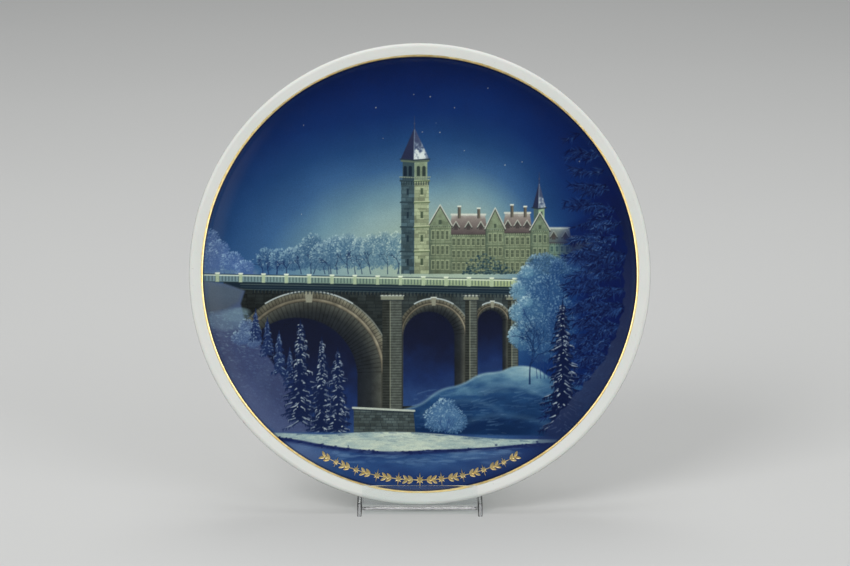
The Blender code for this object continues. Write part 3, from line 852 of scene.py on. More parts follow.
def fir(picture, draw, x, base, top, reach, shade, snow, lit=1.0):
    """A fir: dark drooping boughs with ragged needles, and snow lying broken along them."""
    height = top - base
    picture.fill([(x, top), (x + reach * 0.55, base), (x - reach * 0.55, base)], shade, 0.85, 1.2)
    picture.stroke([(x, top - 1), (x, top + 1.6)], 0.6, 0.2, shade)
    y = top - 1.0
    while y > base:
        share = (top - y) / height
        for side in (-1, 1):
            wide = side * reach * (0.08 + 0.92 * share**0.75) * draw.uniform(0.5, 1.15)
            drop = abs(wide) * draw.uniform(0.3, 0.7)
            bough(picture, draw, x, y, wide, drop, shade, snow, lit)
        if draw.uniform(0, 1) < 0.3:
            clump = x + reach * share * draw.uniform(-0.35, 0.35)
            tone = blend_tone(shade, snow, lit * draw.uniform(0.5, 1))
            wide, high = draw.uniform(0.6, 1.6), draw.uniform(0.4, 0.8)
            picture.dab(clump, y, wide, high, tone, 0.85, draw.uniform(-1, 1))
        y -= draw.uniform(0.8, 1.7)


def bough(picture, draw, x, y, wide, drop, shade, snow, lit):
    """One bough that droops and lifts again at its tip, with hanging needles and some snow."""

    def place(along):
        return x + wide * along, y - drop * (1.7 * along - 0.7 * along**2)

    side = math.copysign(1, wide)
    picture.stroke([place(0), place(0.5), place(1)], 1.2, 0.4, shade, 0.9)
    for _ in range(int(3 + 1.6 * abs(wide))):
        px, py = place(draw.uniform(0.1, 1))
        tip = px + side * draw.uniform(-0.3, 1.0), py - draw.uniform(0.5, 1.7)
        picture.stroke([(px, py), tip], 0.5, 0.15, shade, 0.85)
    for _ in range(draw.integers(1, 4)):
        start = draw.uniform(0.05, 0.85)
        px, py = place(start)
        qx, qy = place(start + draw.uniform(0.08, 0.4))
        tone = blend_tone(shade, snow, lit * draw.uniform(0.2, 1) ** 1.3)
        picture.stroke([(px, py + 0.4), (qx, qy + 0.35)], draw.uniform(0.4, 0.8), 0.2, tone, 0.8)
        if draw.uniform(0, 1) < 0.5:
            tip = (qx + side * 0.2, qy - draw.uniform(0.4, 1.1))
            picture.stroke([(qx, qy + 0.2), tip], 0.4, 0.15, tone, 0.7)


def paint_right_bank(picture):
    """Blue snow slopes beside the bridge, running down to the right."""

    def slope(x, y):
        lit = np.clip((y + 74) / 32, 0, 1) ** 1.2 + 0.14 * cloud(x * 0.6 + y, y * 1.6 - x * 0.5, 7, 81)
        bright = (0.8, (98, 136, 162)), (1.1, (150, 178, 188))
        return ramp(lit, (0, (12, 38, 78)), (0.45, (32, 68, 114)), *bright)

    ridge = [(-9, -64), (1, -61), (9, -54), (20, -52), (28, -46.6), (38, -46)]
    ridge += [(44, -43), (54, -43.6), (61, -49), (82, -54)]
    ridge = softened(ridge)
    picture.fill([*ridge, (84, -78), (-9, -78)], slope, 1.0, 0.9)
    draw = np.random.default_rng(83)
    picture.stroke(ridge[ridge[:, 0] < 58] - (0, 0.4), 1.0, 0.8, (172, 194, 202), 0.45, 1.2)
    drifts = (((2, -66), (13, -60), (26, -59), (38, -64)), ((30, -54), (40, -51), (52, -54), (62, -60)))
    for drift in drifts + (((20, -70), (34, -66), (48, -67), (62, -71)),):
        picture.stroke(softened(drift), 2.6, 1.0, (136, 166, 186), 0.22, 2.8)
        picture.stroke(softened(drift) - (0, 2.6), 3.4, 1.0, (12, 36, 78), 0.35, 3.2)
    for _ in range(150):
        x = draw.uniform(-4, 62)
        y = draw.uniform(-73, -50 - 0.12 * abs(x - 40))
        tone = blend_tone((40, 72, 124), (140, 170, 196), draw.uniform(0, 1))
        length = draw.uniform(1.5, 6)
        end = (x + length, y + length * draw.uniform(-0.1, 0.35))
        picture.stroke([(x, y), end], 0.5, 0.2, tone, 0.25, 0.6)


def needle_bough(picture, draw, x, y, angle, length):
    """A drooping fir bough: tufts of needles that hang forwards, dark with some paler blue among them."""
    frosty = draw.uniform(0, 1) < 0.5
    pace = 1.3
    for step in range(int(length / pace)):
        px = x + step * pace * math.cos(angle)
        py = y + step * pace * math.sin(angle) - 0.012 * (step * pace) ** 2
        for _ in range(4):
            lean = angle + 0.45 + draw.normal(0, 0.6)
            reach = draw.uniform(1.6, 3.8)
            tone = blend_tone((5, 14, 54), (38, 70, 126), draw.uniform(0, 1) ** 1.6)
            tip = px + reach * math.cos(lean), py + reach * math.sin(lean)
            picture.stroke([(px, py), tip], 0.6, 0.15, tone, 0.75)
        if frosty and draw.uniform(0, 1) < 0.45:
            lean = angle + 0.45 + draw.normal(0, 0.7)
            tone = blend_tone((44, 78, 132), (104, 136, 176), draw.uniform(0, 1))
            tip = px + 1.4 * math.cos(lean), py + 1.4 * math.sin(lean)
            picture.stroke([(px, py + 0.2), tip], 0.45, 0.15, tone, 0.55)


def paint_right_trees(picture):
    """The frosted thicket at the end of the bridge, a bare sapling, and the dark firs at the right edge."""
    draw = np.random.default_rng(91)
    for place in THICKET:
        deep = np.clip((place[0] - 46) / 22, 0, 1)
        dark = blend_tone((58, 96, 134), (30, 62, 112), deep)
        light = blend_tone((168, 194, 206), (116, 150, 182), deep)
        frosted_crown(picture, draw, *place, dark, light, 460)
    for x, y, turn in ((56, -36, 1.7), (62, -30, 1.4), (52, -24, 1.9), (60, -12, 1.5), (66, -16, 1.2)):
        branches(picture, draw, x, y, turn, 3.6, 0.4, (26, 52, 98), 3)
    edge = ((50, 1, 7, 6), (46, -8, 8, 9), (45, -18, 7, 9), (44, -29, 6, 8), (50, -13, 6, 5))
    frosted_crowns(picture, draw, edge, (80, 120, 152), (178, 202, 214), 170)
    branches(picture, draw, 51.5, -51.5, math.pi / 2, 8.5, 0.9, (16, 38, 80), 5)
    for index in range(4):
        branches(picture, draw, 55 + 1.7 * index, -49, math.pi / 2 + 0.1, 4.5, 0.4, (30, 56, 104), 3)
    for layer in range(10):
        picture.dab(90 + draw.normal(0, 4), 34 - 10 * layer, 32 + 8 * draw.uniform(-1, 1), 26, NAVY, 0.6)
    tier = 8.0
    for _ in range(190):
        y = tier * round(draw.uniform(-62, 62) / tier) + draw.normal(0, 1.3)
        root = 97 - 0.0035 * (y + 5) ** 2 - draw.uniform(0, 12)
        length = draw.uniform(6, 22) * (1 - 0.015 * max(y - 10, 0))
        needle_bough(picture, draw, root, y, math.pi - draw.uniform(-0.35, 0.35), length)


def paint_foreground(picture):
    """The pale bank of snow across the front, and blue shadow below it down to the rim."""

    def shadow(x, y):
        middle = np.exp(-(((x - 4) / 36) ** 2) - ((y + 88) / 5) ** 2)
        lit = 0.4 + 0.45 * cloud(x * 0.55, y * 1.5, 12, 101) + 0.35 * middle
        edge = np.clip((np.hypot(x, y) - 86) / 15, 0, 1) * (0.5 + np.clip(x / 60, -0.3, 0.5))
        bright = (0.9, (74, 106, 150)), (1.2, (106, 136, 170))
        tone = ramp(lit, (0, (30, 54, 104)), (0.5, (44, 76, 126)), *bright)
        return blend_tone(tone, (22, 38, 84), edge[..., None])

    bank = [(-103, -50), (-66, -74), (66, -76), (103, -60), (103, -103), (-103, -103)]
    picture.fill(bank, shadow, 1.0, 1.0)
    slope = [(-103, -44), (-80, -54), (-62, -72), (-40, -84), (-60, -103), (-103, -103)]
    picture.fill(slope, (88, 102, 144), 0.55, 12)

    def snow(x, y):
        drift = 0.10 * cloud(x * 0.3, y, 2.5, 103) + 0.10 * cloud(x * 0.3, y, 0.9, 104)
        lit = 0.72 + drift - 0.25 * np.abs(x + 8) / 60
        bright = (0.75, (184, 196, 188)), (1, (206, 214, 202))
        return ramp(lit, (0, (90, 114, 142)), (0.5, (150, 170, 174)), *bright)

    top = [(-76, -73.6), (-60, -74.6), (-44, -75.6), (-28, -74.2), (-8, -74.0)]
    top = softened(top + [(6, -74.8), (22, -76.4), (44, -77.8), (70, -77)])
    bottom = [(-76, -74.6), (-58, -77.2), (-46, -80), (-30, -82.2), (-14, -83.6)]
    bottom += [(8, -82.4), (30, -81.6), (50, -79.6), (70, -78)]
    bottom = softened(bottom)
    picture.stroke(bottom - (0, 0.5), 2.4, 2.4, (22, 34, 82), 0.85, 1.2)
    picture.fill([*top, *bottom[::-1]], snow, 1.0, 0.6)
    draw = np.random.default_rng(105)
    for _ in range(150):
        x = draw.uniform(-60, 58)
        y = -77.5 - 0.02 * x + draw.normal(0, 1.6)
        end = (x + draw.uniform(1, 5), y - 0.2)
        picture.stroke([(x, y), end], 0.3, 0.15, (98, 116, 134), draw.uniform(0.1, 0.5))
    for _ in range(150):
        x = draw.uniform(-66, 60)
        y = np.interp(x, *bottom.T) - 0.5 + draw.normal(0, 0.4)
        picture.dab(x, y, draw.uniform(0.8, 2.6), 0.9, (20, 32, 78), 0.7)
    for _ in range(60):
        x = draw.uniform(-60, 50)
        y = np.interp(x, *top.T) - draw.uniform(0.1, 1.0)
        end = (x + draw.uniform(1, 4), y - 0.15)
        picture.stroke([(x, y), end], 0.35, 0.15, (64, 86, 118), draw.uniform(0.2, 0.7))
    for _ in range(70):
        x = draw.uniform(-40, 46)
        y = -87 + 0.0012 * (x + 8) ** 2 + draw.normal(0, 1.6)
        tone = (118, 148, 182)
        wide, high = draw.uniform(4, 12), draw.uniform(0.8, 2.2)
        picture.dab(x, y, wide, high, tone, draw.uniform(0.08, 0.25), draw.uniform(-0.1, 0.15))


def paint_riverside(picture):
    """A low wall at the foot of the bridge with snow on it, and a frosted shrub."""
    wall = [(-31, -63), (-3, -64.4), (-2, -76), (-31, -76)]
    picture.fill(wall, stone_courses((70, 80, 82), (32, 41, 50), 1.3, 2.6, 45))
    picture.line((-31.4, -62.8), (-2.6, -64.2), 0.9, (184, 192, 186), 0.95)
    picture.line((-31.4, -63.7), (-2.6, -65.1), 0.4, (30, 38, 48), 0.9)
    draw = np.random.default_rng(121)
    shrub = ((16, -69, 13, 12), (8, -68, 13, 13), (12, -65, 14, 14))
    frosted_crowns(picture, draw, shrub, (66, 102, 144), (176, 200, 216), 300)
    for _ in range(9):
        angle = draw.uniform(0.7, 2.4)
        branches(picture, draw, 12, -74.5, angle, 4.5, 0.3, (44, 74, 122), 1)


def paint_reflection_and_edge_ring(picture):
    """A painted reflection of the room: a dim violet band down the right-hand edge of the well's wall, as the
    glaze would mirror it. Also a darker ring where the print meets the gold.
    """
    away = np.hypot(picture.x, picture.y)
    angle = np.degrees(np.arctan2(picture.y, picture.x))
    everywhere = (slice(None), slice(None))
    flat = angle * 0
    inner = 96.5 + 1.5 * cloud(angle, flat + 3, 14, 111) + 0.9 * cloud(angle, flat + 9, 2, 112)
    inner = inner - 4.5 * np.exp(-(((angle + 40) / 12) ** 2))
    fade = np.clip((angle + 58) / 8, 0, 1) * np.clip((22 - angle) / 8, 0, 1)
    cover = np.clip((away - inner) / 0.6, 0, 1) * fade

    def violet(x, y):
        return ramp(y, (-75, (28, 42, 80)), (-45, (42, 54, 88)), (-10, (34, 42, 76)), (30, (14, 26, 66)))

    # Painted reflection: the room as mirrored in the glaze of the well's wall, laid into the print's colour.
    picture.lay(everywhere, cover * 0.85, violet)
    # The print darkens in its last millimetre, just inside the gold line.
    picture.lay(everywhere, 0.45 * np.clip((away - 100.2) / 0.5, 0, 1), (12, 14, 34))


def painted_evening():
    """The whole picture, from the sky forwards."""
    picture = Picture(PAINT_REACH, PAINT_PITCH)
    paint_sky(picture)
    paint_far_trees(picture)
    paint_town(picture)
    paint_bridge(picture)
    paint_right_bank(picture)
    paint_left_bank(picture)
    draw = np.random.default_rng(131)
    row = ((-77, -31, -18, 3.4), (-71.5, -38, -22, 3.6), (-66, -46, -28, 3.8), (-61, -53, -36, 3.2))
    for x, base, top, reach in row:
        fir(picture, draw, x, base, top, reach, (26, 42, 84), (150, 172, 196), 0.8)
    paint_riverside(picture)
    for x, base, top, reach in ((-56, -69, -23, 9.0), (-46, -74, -31, 7.2), (-38.5, -75, -36, 7.4)):
        fir(picture, draw, x, base, top, reach, (17, 30, 66), (198, 210, 218))
    paint_right_trees(picture)
    fir(picture, draw, 67, -77, -14, 12.0, (10, 22, 58), (196, 210, 222), 0.95)
    paint_foreground(picture)
    paint_reflection_and_edge_ring(picture)
    return picture


# ---- Materials ----


def feed(tree, socket, value):
    """Links an output to an input, or sets the input's value. Colours are given as three bands."""
    if isinstance(value, bpy.types.NodeSocket):
        tree.links.new(value, socket)
    elif socket.type == "RGBA":
        socket.default_value = (*value, 1.0)
    else:
        socket.default_value = value


def add_node(tree, kind, values=None, **settings):
    """Adds a shader node with these settings, and feeds its inputs by their names or numbers."""
    node = tree.nodes.new("ShaderNode" + kind)
    for name, setting in settings.items():
        setattr(node, name, setting)
    for name, value in (values or {}).items():
        feed(tree, node.inputs[name], value)
    return node


class Look:
    """A node material round one Principled shader, with short calls for the nodes that feed it."""

    def __init__(self, name):
        self.material = bpy.data.materials.new(name)
        self.material.use_nodes = True
        self.tree = self.material.node_tree
        self.shader = self.tree.nodes["Principled BSDF"]
        self.place = add_node(self.tree, "TexCoord").outputs["Object"]

    def set(self, **values):
        """Feeds the shader's inputs. An underscore in a name stands for a space."""
        for name, value in values.items():
            feed(self.tree, self.shader.inputs[name.replace("_", " ")], value)

    def noise(self, size, detail=3.0, stretch=(1, 1, 1)):
        """Noise with features of this size, in metres."""
        place = add_node(self.tree, "Mapping", {"Scale": stretch, "Vector": self.place})
        values = {"Scale": 1 / size, "Detail": detail, "Vector": place.outputs["Vector"]}
        return add_node(self.tree, "TexNoise", values).outputs["Fac"]

    def attribute(self, name, output="Fac"):
        return add_node(self.tree, "Attribute", attribute_name=name).outputs[output]

    def between(self, value, low, high, start=0.35, stop=0.65):
        """Maps a value from start and stop to low and high."""
        values = {"Value": value, "From Min": start, "From Max": stop, "To Min": low, "To Max": high}
        return add_node(self.tree, "MapRange", values).outputs["Result"]

    def mix(self, share, first, second, kind="MIX"):
        values = {0: share, 6: first, 7: second}
        return add_node(self.tree, "Mix", values, data_type="RGBA", blend_type=kind).outputs[2]

    def grey(self, value):
        """The colour that has this value in every band."""
        values = {"Red": value, "Green": value, "Blue": value}
        return add_node(self.tree, "CombineColor", values).outputs["Color"]

    def bump(self, *layers):
        """Adds relief. Each layer is a height output and its depth in metres."""
        below = {}
        for height, depth in layers:
            node = add_node(self.tree, "Bump", {"Distance": depth, "Height": height, **below})
            below = {"Normal": node.outputs["Normal"]}
        self.set(**below)


def glaze_look():
    """White porcelain under a clear glossy glaze, bare and matt where the foot was wiped."""
    look = Look("porcelain_glaze")
    bare = look.attribute("bare")
    cloudy = look.between(look.noise(30 * MM), 0.0, 1.0)
    white = look.mix(cloudy, (0.80, 0.82, 0.775), (0.83, 0.84, 0.80))
    speck = look.between(look.noise(1.1 * MM, 1.0), 0.0, 0.35, 0.74, 0.80)
    white = look.mix(speck, white, (0.55, 0.52, 0.46))
    biscuit = look.mix(look.noise(0.8 * MM), (0.66, 0.62, 0.54), (0.78, 0.75, 0.68))
    smooth = look.between(look.noise(9 * MM), 0.05, 0.10)
    look.set(
        Base_Color=look.mix(bare, white, biscuit),
        Roughness=look.between(bare, 0.10, 0.75, 0.0, 1.0),
        Coat_Weight=look.between(bare, 1.0, 0.0, 0.0, 1.0),
        Coat_Roughness=smooth,
        Subsurface_Weight=0.06,
        Subsurface_Scale=1.5 * MM,
    )
    look.bump((look.noise(14 * MM, 2.0), 0.05 * MM), (look.noise(1.6 * MM, 2.0), 0.004 * MM))
    return look.material


def picture_look():
    """The print: its painted colours, broken by a fine screen, under the same glaze."""
    look = Look("picture_print")
    paint = look.attribute("paint", "Color")
    grain = look.between(look.noise(0.35 * MM, 2.0), 0.90, 1.10)
    wash = look.between(look.noise(18 * MM, 2.0), 0.96, 1.04)
    unevenness = look.mix(1.0, look.grey(grain), look.grey(wash), "MULTIPLY")
    look.set(
        Base_Color=look.mix(1.0, paint, unevenness, "MULTIPLY"),
        Roughness=look.between(look.noise(6 * MM), 0.09, 0.16),
        IOR=1.5,
    )
    look.bump((look.noise(14 * MM, 2.0), 0.05 * MM), (look.noise(1.2 * MM, 2.0), 0.003 * MM))
    return look.material


def gold_look(name):
    """Burnished gold, paler where it is thick, with a little brush drag and soft dull patches."""
    look = Look(name)
    drag = look.between(look.noise(2.2 * MM, 3.0), 0.0, 1.0)
    dull = look.between(look.noise(9 * MM, 2.0), 0.0, 0.5, 0.52, 0.70)
    tone = look.mix(drag, (0.96, 0.70, 0.26), (1.0, 0.83, 0.42))
    look.set(
        Base_Color=look.mix(dull, tone, (0.86, 0.66, 0.32)),
        Metallic=0.9,
        Roughness=look.between(look.noise(3 * MM, 2.0), 0.30, 0.42),
    )
    look.bump((look.noise(1.5 * MM, 2.0), 0.004 * MM))
    return look.material


def stamp_look():
    """Cobalt ink under the glaze, a little uneven."""
    look = Look("stamp_cobalt")
    uneven = look.between(look.noise(1.2 * MM, 3.0), 0.0, 1.0)
    look.set(
        Base_Color=look.mix(uneven, (0.035, 0.09, 0.34), (0.10, 0.18, 0.48)),
        Roughness=look.between(look.noise(3 * MM), 0.10, 0.22),
        Coat_Weight=0.8,
    )
    look.bump((look.noise(0.9 * MM, 2.0), 0.005 * MM))
    return look.material


def acrylic_look():
    """Clear acrylic with hairline rubs, frosted where it was sawn. Light passes straight through it to
    what it stands before."""
    look = Look("clear_acrylic_sheet")
    scuff = look.between(look.noise(1.4 * MM, 5.0, (1, 1, 7)), 0.01, 0.12, 0.5, 0.75)
    look.set(
        Base_Color=(0.975, 0.985, 0.985),
        Roughness=look.between(look.attribute("sawn"), scuff, 0.16, 0.0, 1.0),
        IOR=1.49,
        Transmission_Weight=1.0,
    )
    look.bump((look.noise(9 * MM, 2.0), 0.01 * MM))
    tree = look.tree
    path = add_node(tree, "LightPath").outputs
    rays = {0: path["Is Shadow Ray"], 1: path["Is Diffuse Ray"]}
    passing = add_node(tree, "Math", rays, operation="MAXIMUM")
    straight = add_node(tree, "BsdfTransparent", {"Color": (0.94, 0.955, 0.955)})
    ways = {0: passing.outputs[0], 1: look.shader.outputs[0], 2: straight.outputs[0]}
    choice = add_node(tree, "MixShader", ways)
    feed(tree, tree.nodes["Material Output"].inputs["Surface"], choice.outputs[0])
    return look.material


# ---- Building the pieces ----


def round_turns(steps):
    """Equal steps of one full turn, in radians."""
    return [math.tau * step / steps for step in range(steps)]


def numbered(first, count, rings):
    """The numbers of the points of each of several rings that follow one another."""
    return [range(first + ring * count, first + (ring + 1) * count) for ring in range(rings)]


def join_rings(faces, rings):
    """Four-cornered faces from each closed ring to the next. A ring is its points' numbers in order."""
    for here, there in zip(rings, rings[1:]):
        faces += [(here[i - 1], here[i], there[i], there[i - 1]) for i in range(len(here))]


def join_fan(faces, ring, middle):
    """Three-cornered faces from a closed ring to one point."""
    faces += [(ring[i - 1], ring[i], middle) for i in range(len(ring))]


def new_piece(name, points, faces, material, matrix=None):
    mesh = bpy.data.meshes.new(name)
    mesh.from_pydata(points, [], faces)
    mesh.shade_smooth()
    mesh.materials.append(material)
    piece = bpy.data.objects.new(name, mesh)
    bpy.context.scene.collection.objects.link(piece)
    if matrix:
        piece.matrix_world = matrix
    return piece


def settle(piece, body, node):
    """The piece rides on its body and stands for its CAD node, which is hidden."""
    piece.data.transform(piece.matrix_world)
    piece.matrix_world = Matrix.Identity(4)
    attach(piece, body)
    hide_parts(node)


def lathe(section, steps):
    """Points and faces of a section turned round the axis. The section starts and ends on the axis."""
    turns = np.arange(steps) * math.tau / steps
    inside = np.array([tuple(point) for point in section[1:-1]])
    across, along = inside[:, :1] * np.cos(turns), inside[:, :1] * np.sin(turns)
    up = np.repeat(inside[:, 1:], steps, axis=1)
    points = np.stack([across, along, up], axis=-1).reshape(-1, 3)
    rings = numbered(0, steps, len(inside))
    faces = []
    join_rings(faces, rings[::-1])
    join_fan(faces, rings[0], len(points))
    join_fan(faces, rings[-1][::-1], len(points) + 1)
    return np.vstack([points, (0, 0, section[0].y), (0, 0, section[-1].y)]), faces


def build_porcelain(material):
    piece = new_piece("glazed_porcelain", *lathe(plate_section(), TURN_STEPS), material, PLATE)
    for angle in CORD_HOLE_ANGLES:
        cut_cord_hole(piece, angle)
    mark_bare_foot(piece)
    settle(piece, "plate", "porcelain_body")


def cut_cord_hole(piece, angle):
    """A round hole through the foot ring, along a radius."""
    mesh = bpy.data.meshes.new("cord_hole")
    work = bmesh.new()
    bmesh.ops.create_cone(
        work,
        cap_ends=True,
        segments=HOLE_STEPS,
        radius1=CORD_HOLE_RADIUS,
        radius2=CORD_HOLE_RADIUS,
        depth=3 * (FOOT_OUTER - FOOT_INNER),
    )
    outward = Vector((math.cos(angle), math.sin(angle), 0))
    middle = outward * (FOOT_OUTER + FOOT_INNER) / 2 + Vector((0, 0, FOOT_HEIGHT / 2))
    turn = outward.to_track_quat("Z", "Y").to_matrix().to_4x4()
    bmesh.ops.transform(work, matrix=PLATE @ Matrix.Translation(middle) @ turn, verts=work.verts)
    work.to_mesh(mesh)
    work.free()
    cutter = bpy.data.objects.new("cord_hole", mesh)
    bpy.context.scene.collection.objects.link(cutter)
    cut = piece.modifiers.new("cord_hole", "BOOLEAN")
    cut.operation = "DIFFERENCE"
    cut.object = cutter
    bpy.context.view_layer.update()
    graph = bpy.context.evaluated_depsgraph_get()
    solid = bpy.data.meshes.new_from_object(piece.evaluated_get(graph))
    piece.modifiers.clear()
    piece.data = solid
    bpy.data.objects.remove(cutter)


def mark_bare_foot(piece):
    """Stores how bare of glaze each point is: 1 on the ring that the plate stands on."""
    mesh = piece.data
    points = np.empty(len(mesh.vertices) * 3, np.float32)
    mesh.vertices.foreach_get("co", points)
    points = points.reshape(-1, 3)
    away = np.hypot(points[:, 0], points[:, 1])
    bare = np.clip(1.3 - points[:, 2] / (0.5 * MM), 0, 1) * (away > FOOT_INNER - 2 * MM)
    mesh.attributes.new("bare", "FLOAT", "POINT").data.foreach_set("value", bare.astype(np.float32))
    mesh.shade_smooth()


def linear(colour):
    """Scene-linear values of display colours from 0 to 255."""
    share = np.clip(colour / 255, 0, 1)
    return np.where(share <= 0.04045, share / 12.92, ((share + 0.055) / 1.055) ** 2.4)


def build_picture(material):
    """The print as a fine square mesh laid over the well, one painted colour to each point."""
    picture = painted_evening()
    edge = (turn_centre().x - TURN_CURVE * math.sin(PICTURE_SLOPE)) / MM
    away = np.hypot(picture.x, picture.y)
    inside = away <= edge
    near, far = slice(None, -1), slice(1, None)
    corners = ((near, near), (near, far), (far, far), (far, near))
    square = np.any([inside[corner] for corner in corners], axis=0)
    used = np.zeros(inside.shape, bool)
    for corner in corners:
        used[corner] |= square
    pull = np.where(away > edge, edge / np.maximum(away, 1), 1)[used]
    x, y = picture.x[used] * pull * MM, picture.y[used] * pull * MM
    face = np.stack([x, y, well_height(np.hypot(x, y)) + PRINT_LIFT], axis=1)
    number = np.full(inside.shape, -1)
    number[used] = np.arange(len(face))
    faces = np.stack([number[corner][square] for corner in corners], axis=1).tolist()
    rim = np.flatnonzero((away > edge)[used])
    rim = rim[np.argsort(np.arctan2(y[rim], x[rim]))]
    under = print_underside(x[rim], y[rim], rim, len(face), faces)
    piece = new_piece("winter_print", np.vstack([face, under]), faces, material, PLATE)
    colours = np.ones((len(face) + len(under), 4), np.float32)
    colours[: len(face), :3] = linear(picture.rgb[used] * GLAZE_TINT) * PAINT_GAIN
    store = piece.data.color_attributes.new("paint", "FLOAT_COLOR", "POINT")
    store.data.foreach_set("color", np.clip(colours, 0, 1).ravel())
    settle(piece, "plate", "winter_picture")


def print_underside(x, y, rim, first, faces):
    """Points of rings under the print, from its edge in to the flat of the well, and a middle point.
    Adds the faces that join them to the edge points, whose numbers are in rim."""
    edge = math.hypot(x[0], y[0])
    lift = 0.2 * PRINT_LIFT
    points = []
    for radius in np.linspace(edge, WELL_RADIUS, UNDERSIDE_RINGS):
        height = well_height(x * 0 + radius) + lift
        points.append(np.stack([x * radius / edge, y * radius / edge, height], axis=1))
    rings = [rim.tolist()] + numbered(first, len(rim), UNDERSIDE_RINGS)
    join_rings(faces, rings[::-1])
    join_fan(faces, rings[-1][::-1], first + UNDERSIDE_RINGS * len(rim))
    return np.vstack(points + [np.array([[0, 0, WELL_HEIGHT + lift]])])


def build_gold_line(material):
    """The hand-drawn gold line, which swells and thins a little on its way round."""
    centre = rim_start()
    points, faces = [], []
    for angle in round_turns(LINE_STEPS):
        swell = 1 + 0.10 * math.sin(5 * angle + 1) + 0.06 * math.sin(17 * angle)
        sway = 0.04 * MM * math.sin(3 * angle) + 0.02 * MM * math.sin(11 * angle + 2)
        for turn in round_turns(LINE_SIDES):
            along = LINE_HALF_WIDTH * swell * math.cos(turn) + sway
            up = PRINT_LIFT + LINE_HEIGHT * (0.4 + math.sin(turn))
            radius = centre.x + along * math.cos(RIM_SLOPE) - up * math.sin(RIM_SLOPE)
            height = centre.y + along * math.sin(RIM_SLOPE) + up * math.cos(RIM_SLOPE)
            points.append((radius * math.cos(angle), radius * math.sin(angle), height))
    rings = numbered(0, LINE_SIDES, LINE_STEPS)
    join_rings(faces, rings[::-1] + rings[-1:])
    piece = new_piece("gold_band", points, faces, material, PLATE)
    settle(piece, "plate", "gold_line")
    return piece


def plate_point(radius, angle, lift):
    """A point of the plate's face, raised along the face's normal, in the plate's frame."""
    slope = math.asin(min(max((radius - WELL_RADIUS) / WALL_CURVE, 0), 1))
    reach = WALL_CURVE - lift
    away = WELL_RADIUS + reach * math.sin(slope)
    height = WELL_HEIGHT + WALL_CURVE - reach * math.cos(slope)
    return Vector((away * math.cos(angle), away * math.sin(angle), height))


def on_wall(point):
    """Bends a point of the flat garland onto the wall. Its y axis points to the plate's middle."""
    angle = -math.pi / 2 + point.x / GARLAND_RADIUS
    return plate_point(GARLAND_RADIUS - point.y, angle, PRINT_LIFT + point.z)


def add_cushion(points, faces, outline, height, middle, bend):
    """A low domed motif on an outline: rounded shoulders up to a raised middle, and a flat underside."""
    rings = numbered(len(points), len(outline), len(CUSHION_RINGS))
    for inset, rise in CUSHION_RINGS:
        for corner in outline:
            place = middle + (corner - middle) * inset
            points.append(bend(Vector((place.x, place.y, height * rise))))
    join_rings(faces, rings)
    join_fan(faces, rings[-1], len(points))
    join_fan(faces, rings[0][::-1], len(points) + 1)
    points.append(bend(Vector((middle.x, middle.y, height))))
    points.append(bend(Vector((middle.x, middle.y, 0))))


def star_outline(middle, outer):
    """A star of four long and four short rays, whose sides curve in a little."""
    reaches = [outer, 0.30 * outer, 0.62 * outer, 0.30 * outer] * 4
    corners = []
    for index, reach in enumerate(reaches):
        angle = math.tau * index / len(reaches)
        corners.append(middle + reach * Vector((math.cos(angle), math.sin(angle))))
    outline = []
    for here, there in zip(corners, corners[1:] + corners[:1]):
        half = (here + there) / 2
        outline += [here, here.lerp(there, 0.25).lerp(middle, 0.05), half.lerp(middle, 0.07)]
        outline.append(here.lerp(there, 0.75).lerp(middle, 0.05))
    return outline


def leaf_outline(root, lean, length, width):
    """A pointed leaf on its stalk end, counter-clockwise."""
    side = Vector((-lean.y, lean.x))
    outline = []
    for angle in round_turns(LEAF_STEPS):
        along = 0.5 - 0.5 * math.cos(angle)
        swell = width / 2 * math.sin(angle) * (1.15 - 0.45 * along)
        outline.append(root + lean * length * along - side * swell)
    return outline


def add_stem(points, faces, reach):
    """The garland's stem, a thin wire that tapers to its ends."""
    rings = numbered(len(points), LINE_SIDES, STEM_STEPS + 1)
    for step in range(STEM_STEPS + 1):
        along = -reach + 2 * reach * step / STEM_STEPS
        thick = STEM_RADIUS * min(1, 0.25 + 12 * (1 - abs(along) / reach))
        for turn in round_turns(LINE_SIDES):
            up = 0.5 * STEM_RADIUS + 0.5 * thick * math.sin(turn)
            points.append(on_wall(Vector((along, thick * math.cos(turn), up))))
    join_rings(faces, rings[::-1])
    faces += [tuple(rings[0]), tuple(rings[-1][::-1])]


def build_garland(material):
    """Gold stars, berries and laurel leaves on a stem, standing a hair above the glaze."""
    points, faces = [], []
    middle = (GARLAND_STARS - 1) / 2
    pitch = STAR_PITCH * GARLAND_RADIUS
    add_stem(points, faces, (middle + 0.5) * pitch)
    for index in range(GARLAND_STARS):
        away = abs(index - middle) / middle
        place = Vector(((index - middle) * pitch, 0))
        outline = star_outline(place, STAR_RADIUS + (END_STAR_RADIUS - STAR_RADIUS) * away)
        add_cushion(points, faces, outline, STAR_HEIGHT, place, on_wall)
    for index in range(GARLAND_STARS + 1):
        add_sprig(points, faces, (index - 0.5 - middle) * pitch)
    piece = new_piece("garland_gilding", points, faces, material, PLATE)
    settle(piece, "plate", "gold_garland")
    return piece


def add_sprig(points, faces, along):
    """A berry on the stem and two pairs of leaves that slant away from the garland's middle."""
    berry = Vector((along, 0))
    turns = round_turns(BERRY_STEPS)
    outline = [berry + BERRY_RADIUS * Vector((math.cos(turn), math.sin(turn))) for turn in turns]
    add_cushion(points, faces, outline, BERRY_HEIGHT, berry, on_wall)
    outwards = math.copysign(1, along)
    for spot in LEAF_SPOTS:
        root = Vector((along + outwards * spot, 0))
        for side in (-1, 1):
            lean = Vector((outwards * math.cos(LEAF_SLANT), side * math.sin(LEAF_SLANT)))
            outline = leaf_outline(root, lean, LEAF_LENGTH, LEAF_WIDTH)
            middle = root + lean * LEAF_LENGTH * 0.45
            add_cushion(points, faces, outline, LEAF_HEIGHT, middle, on_wall)


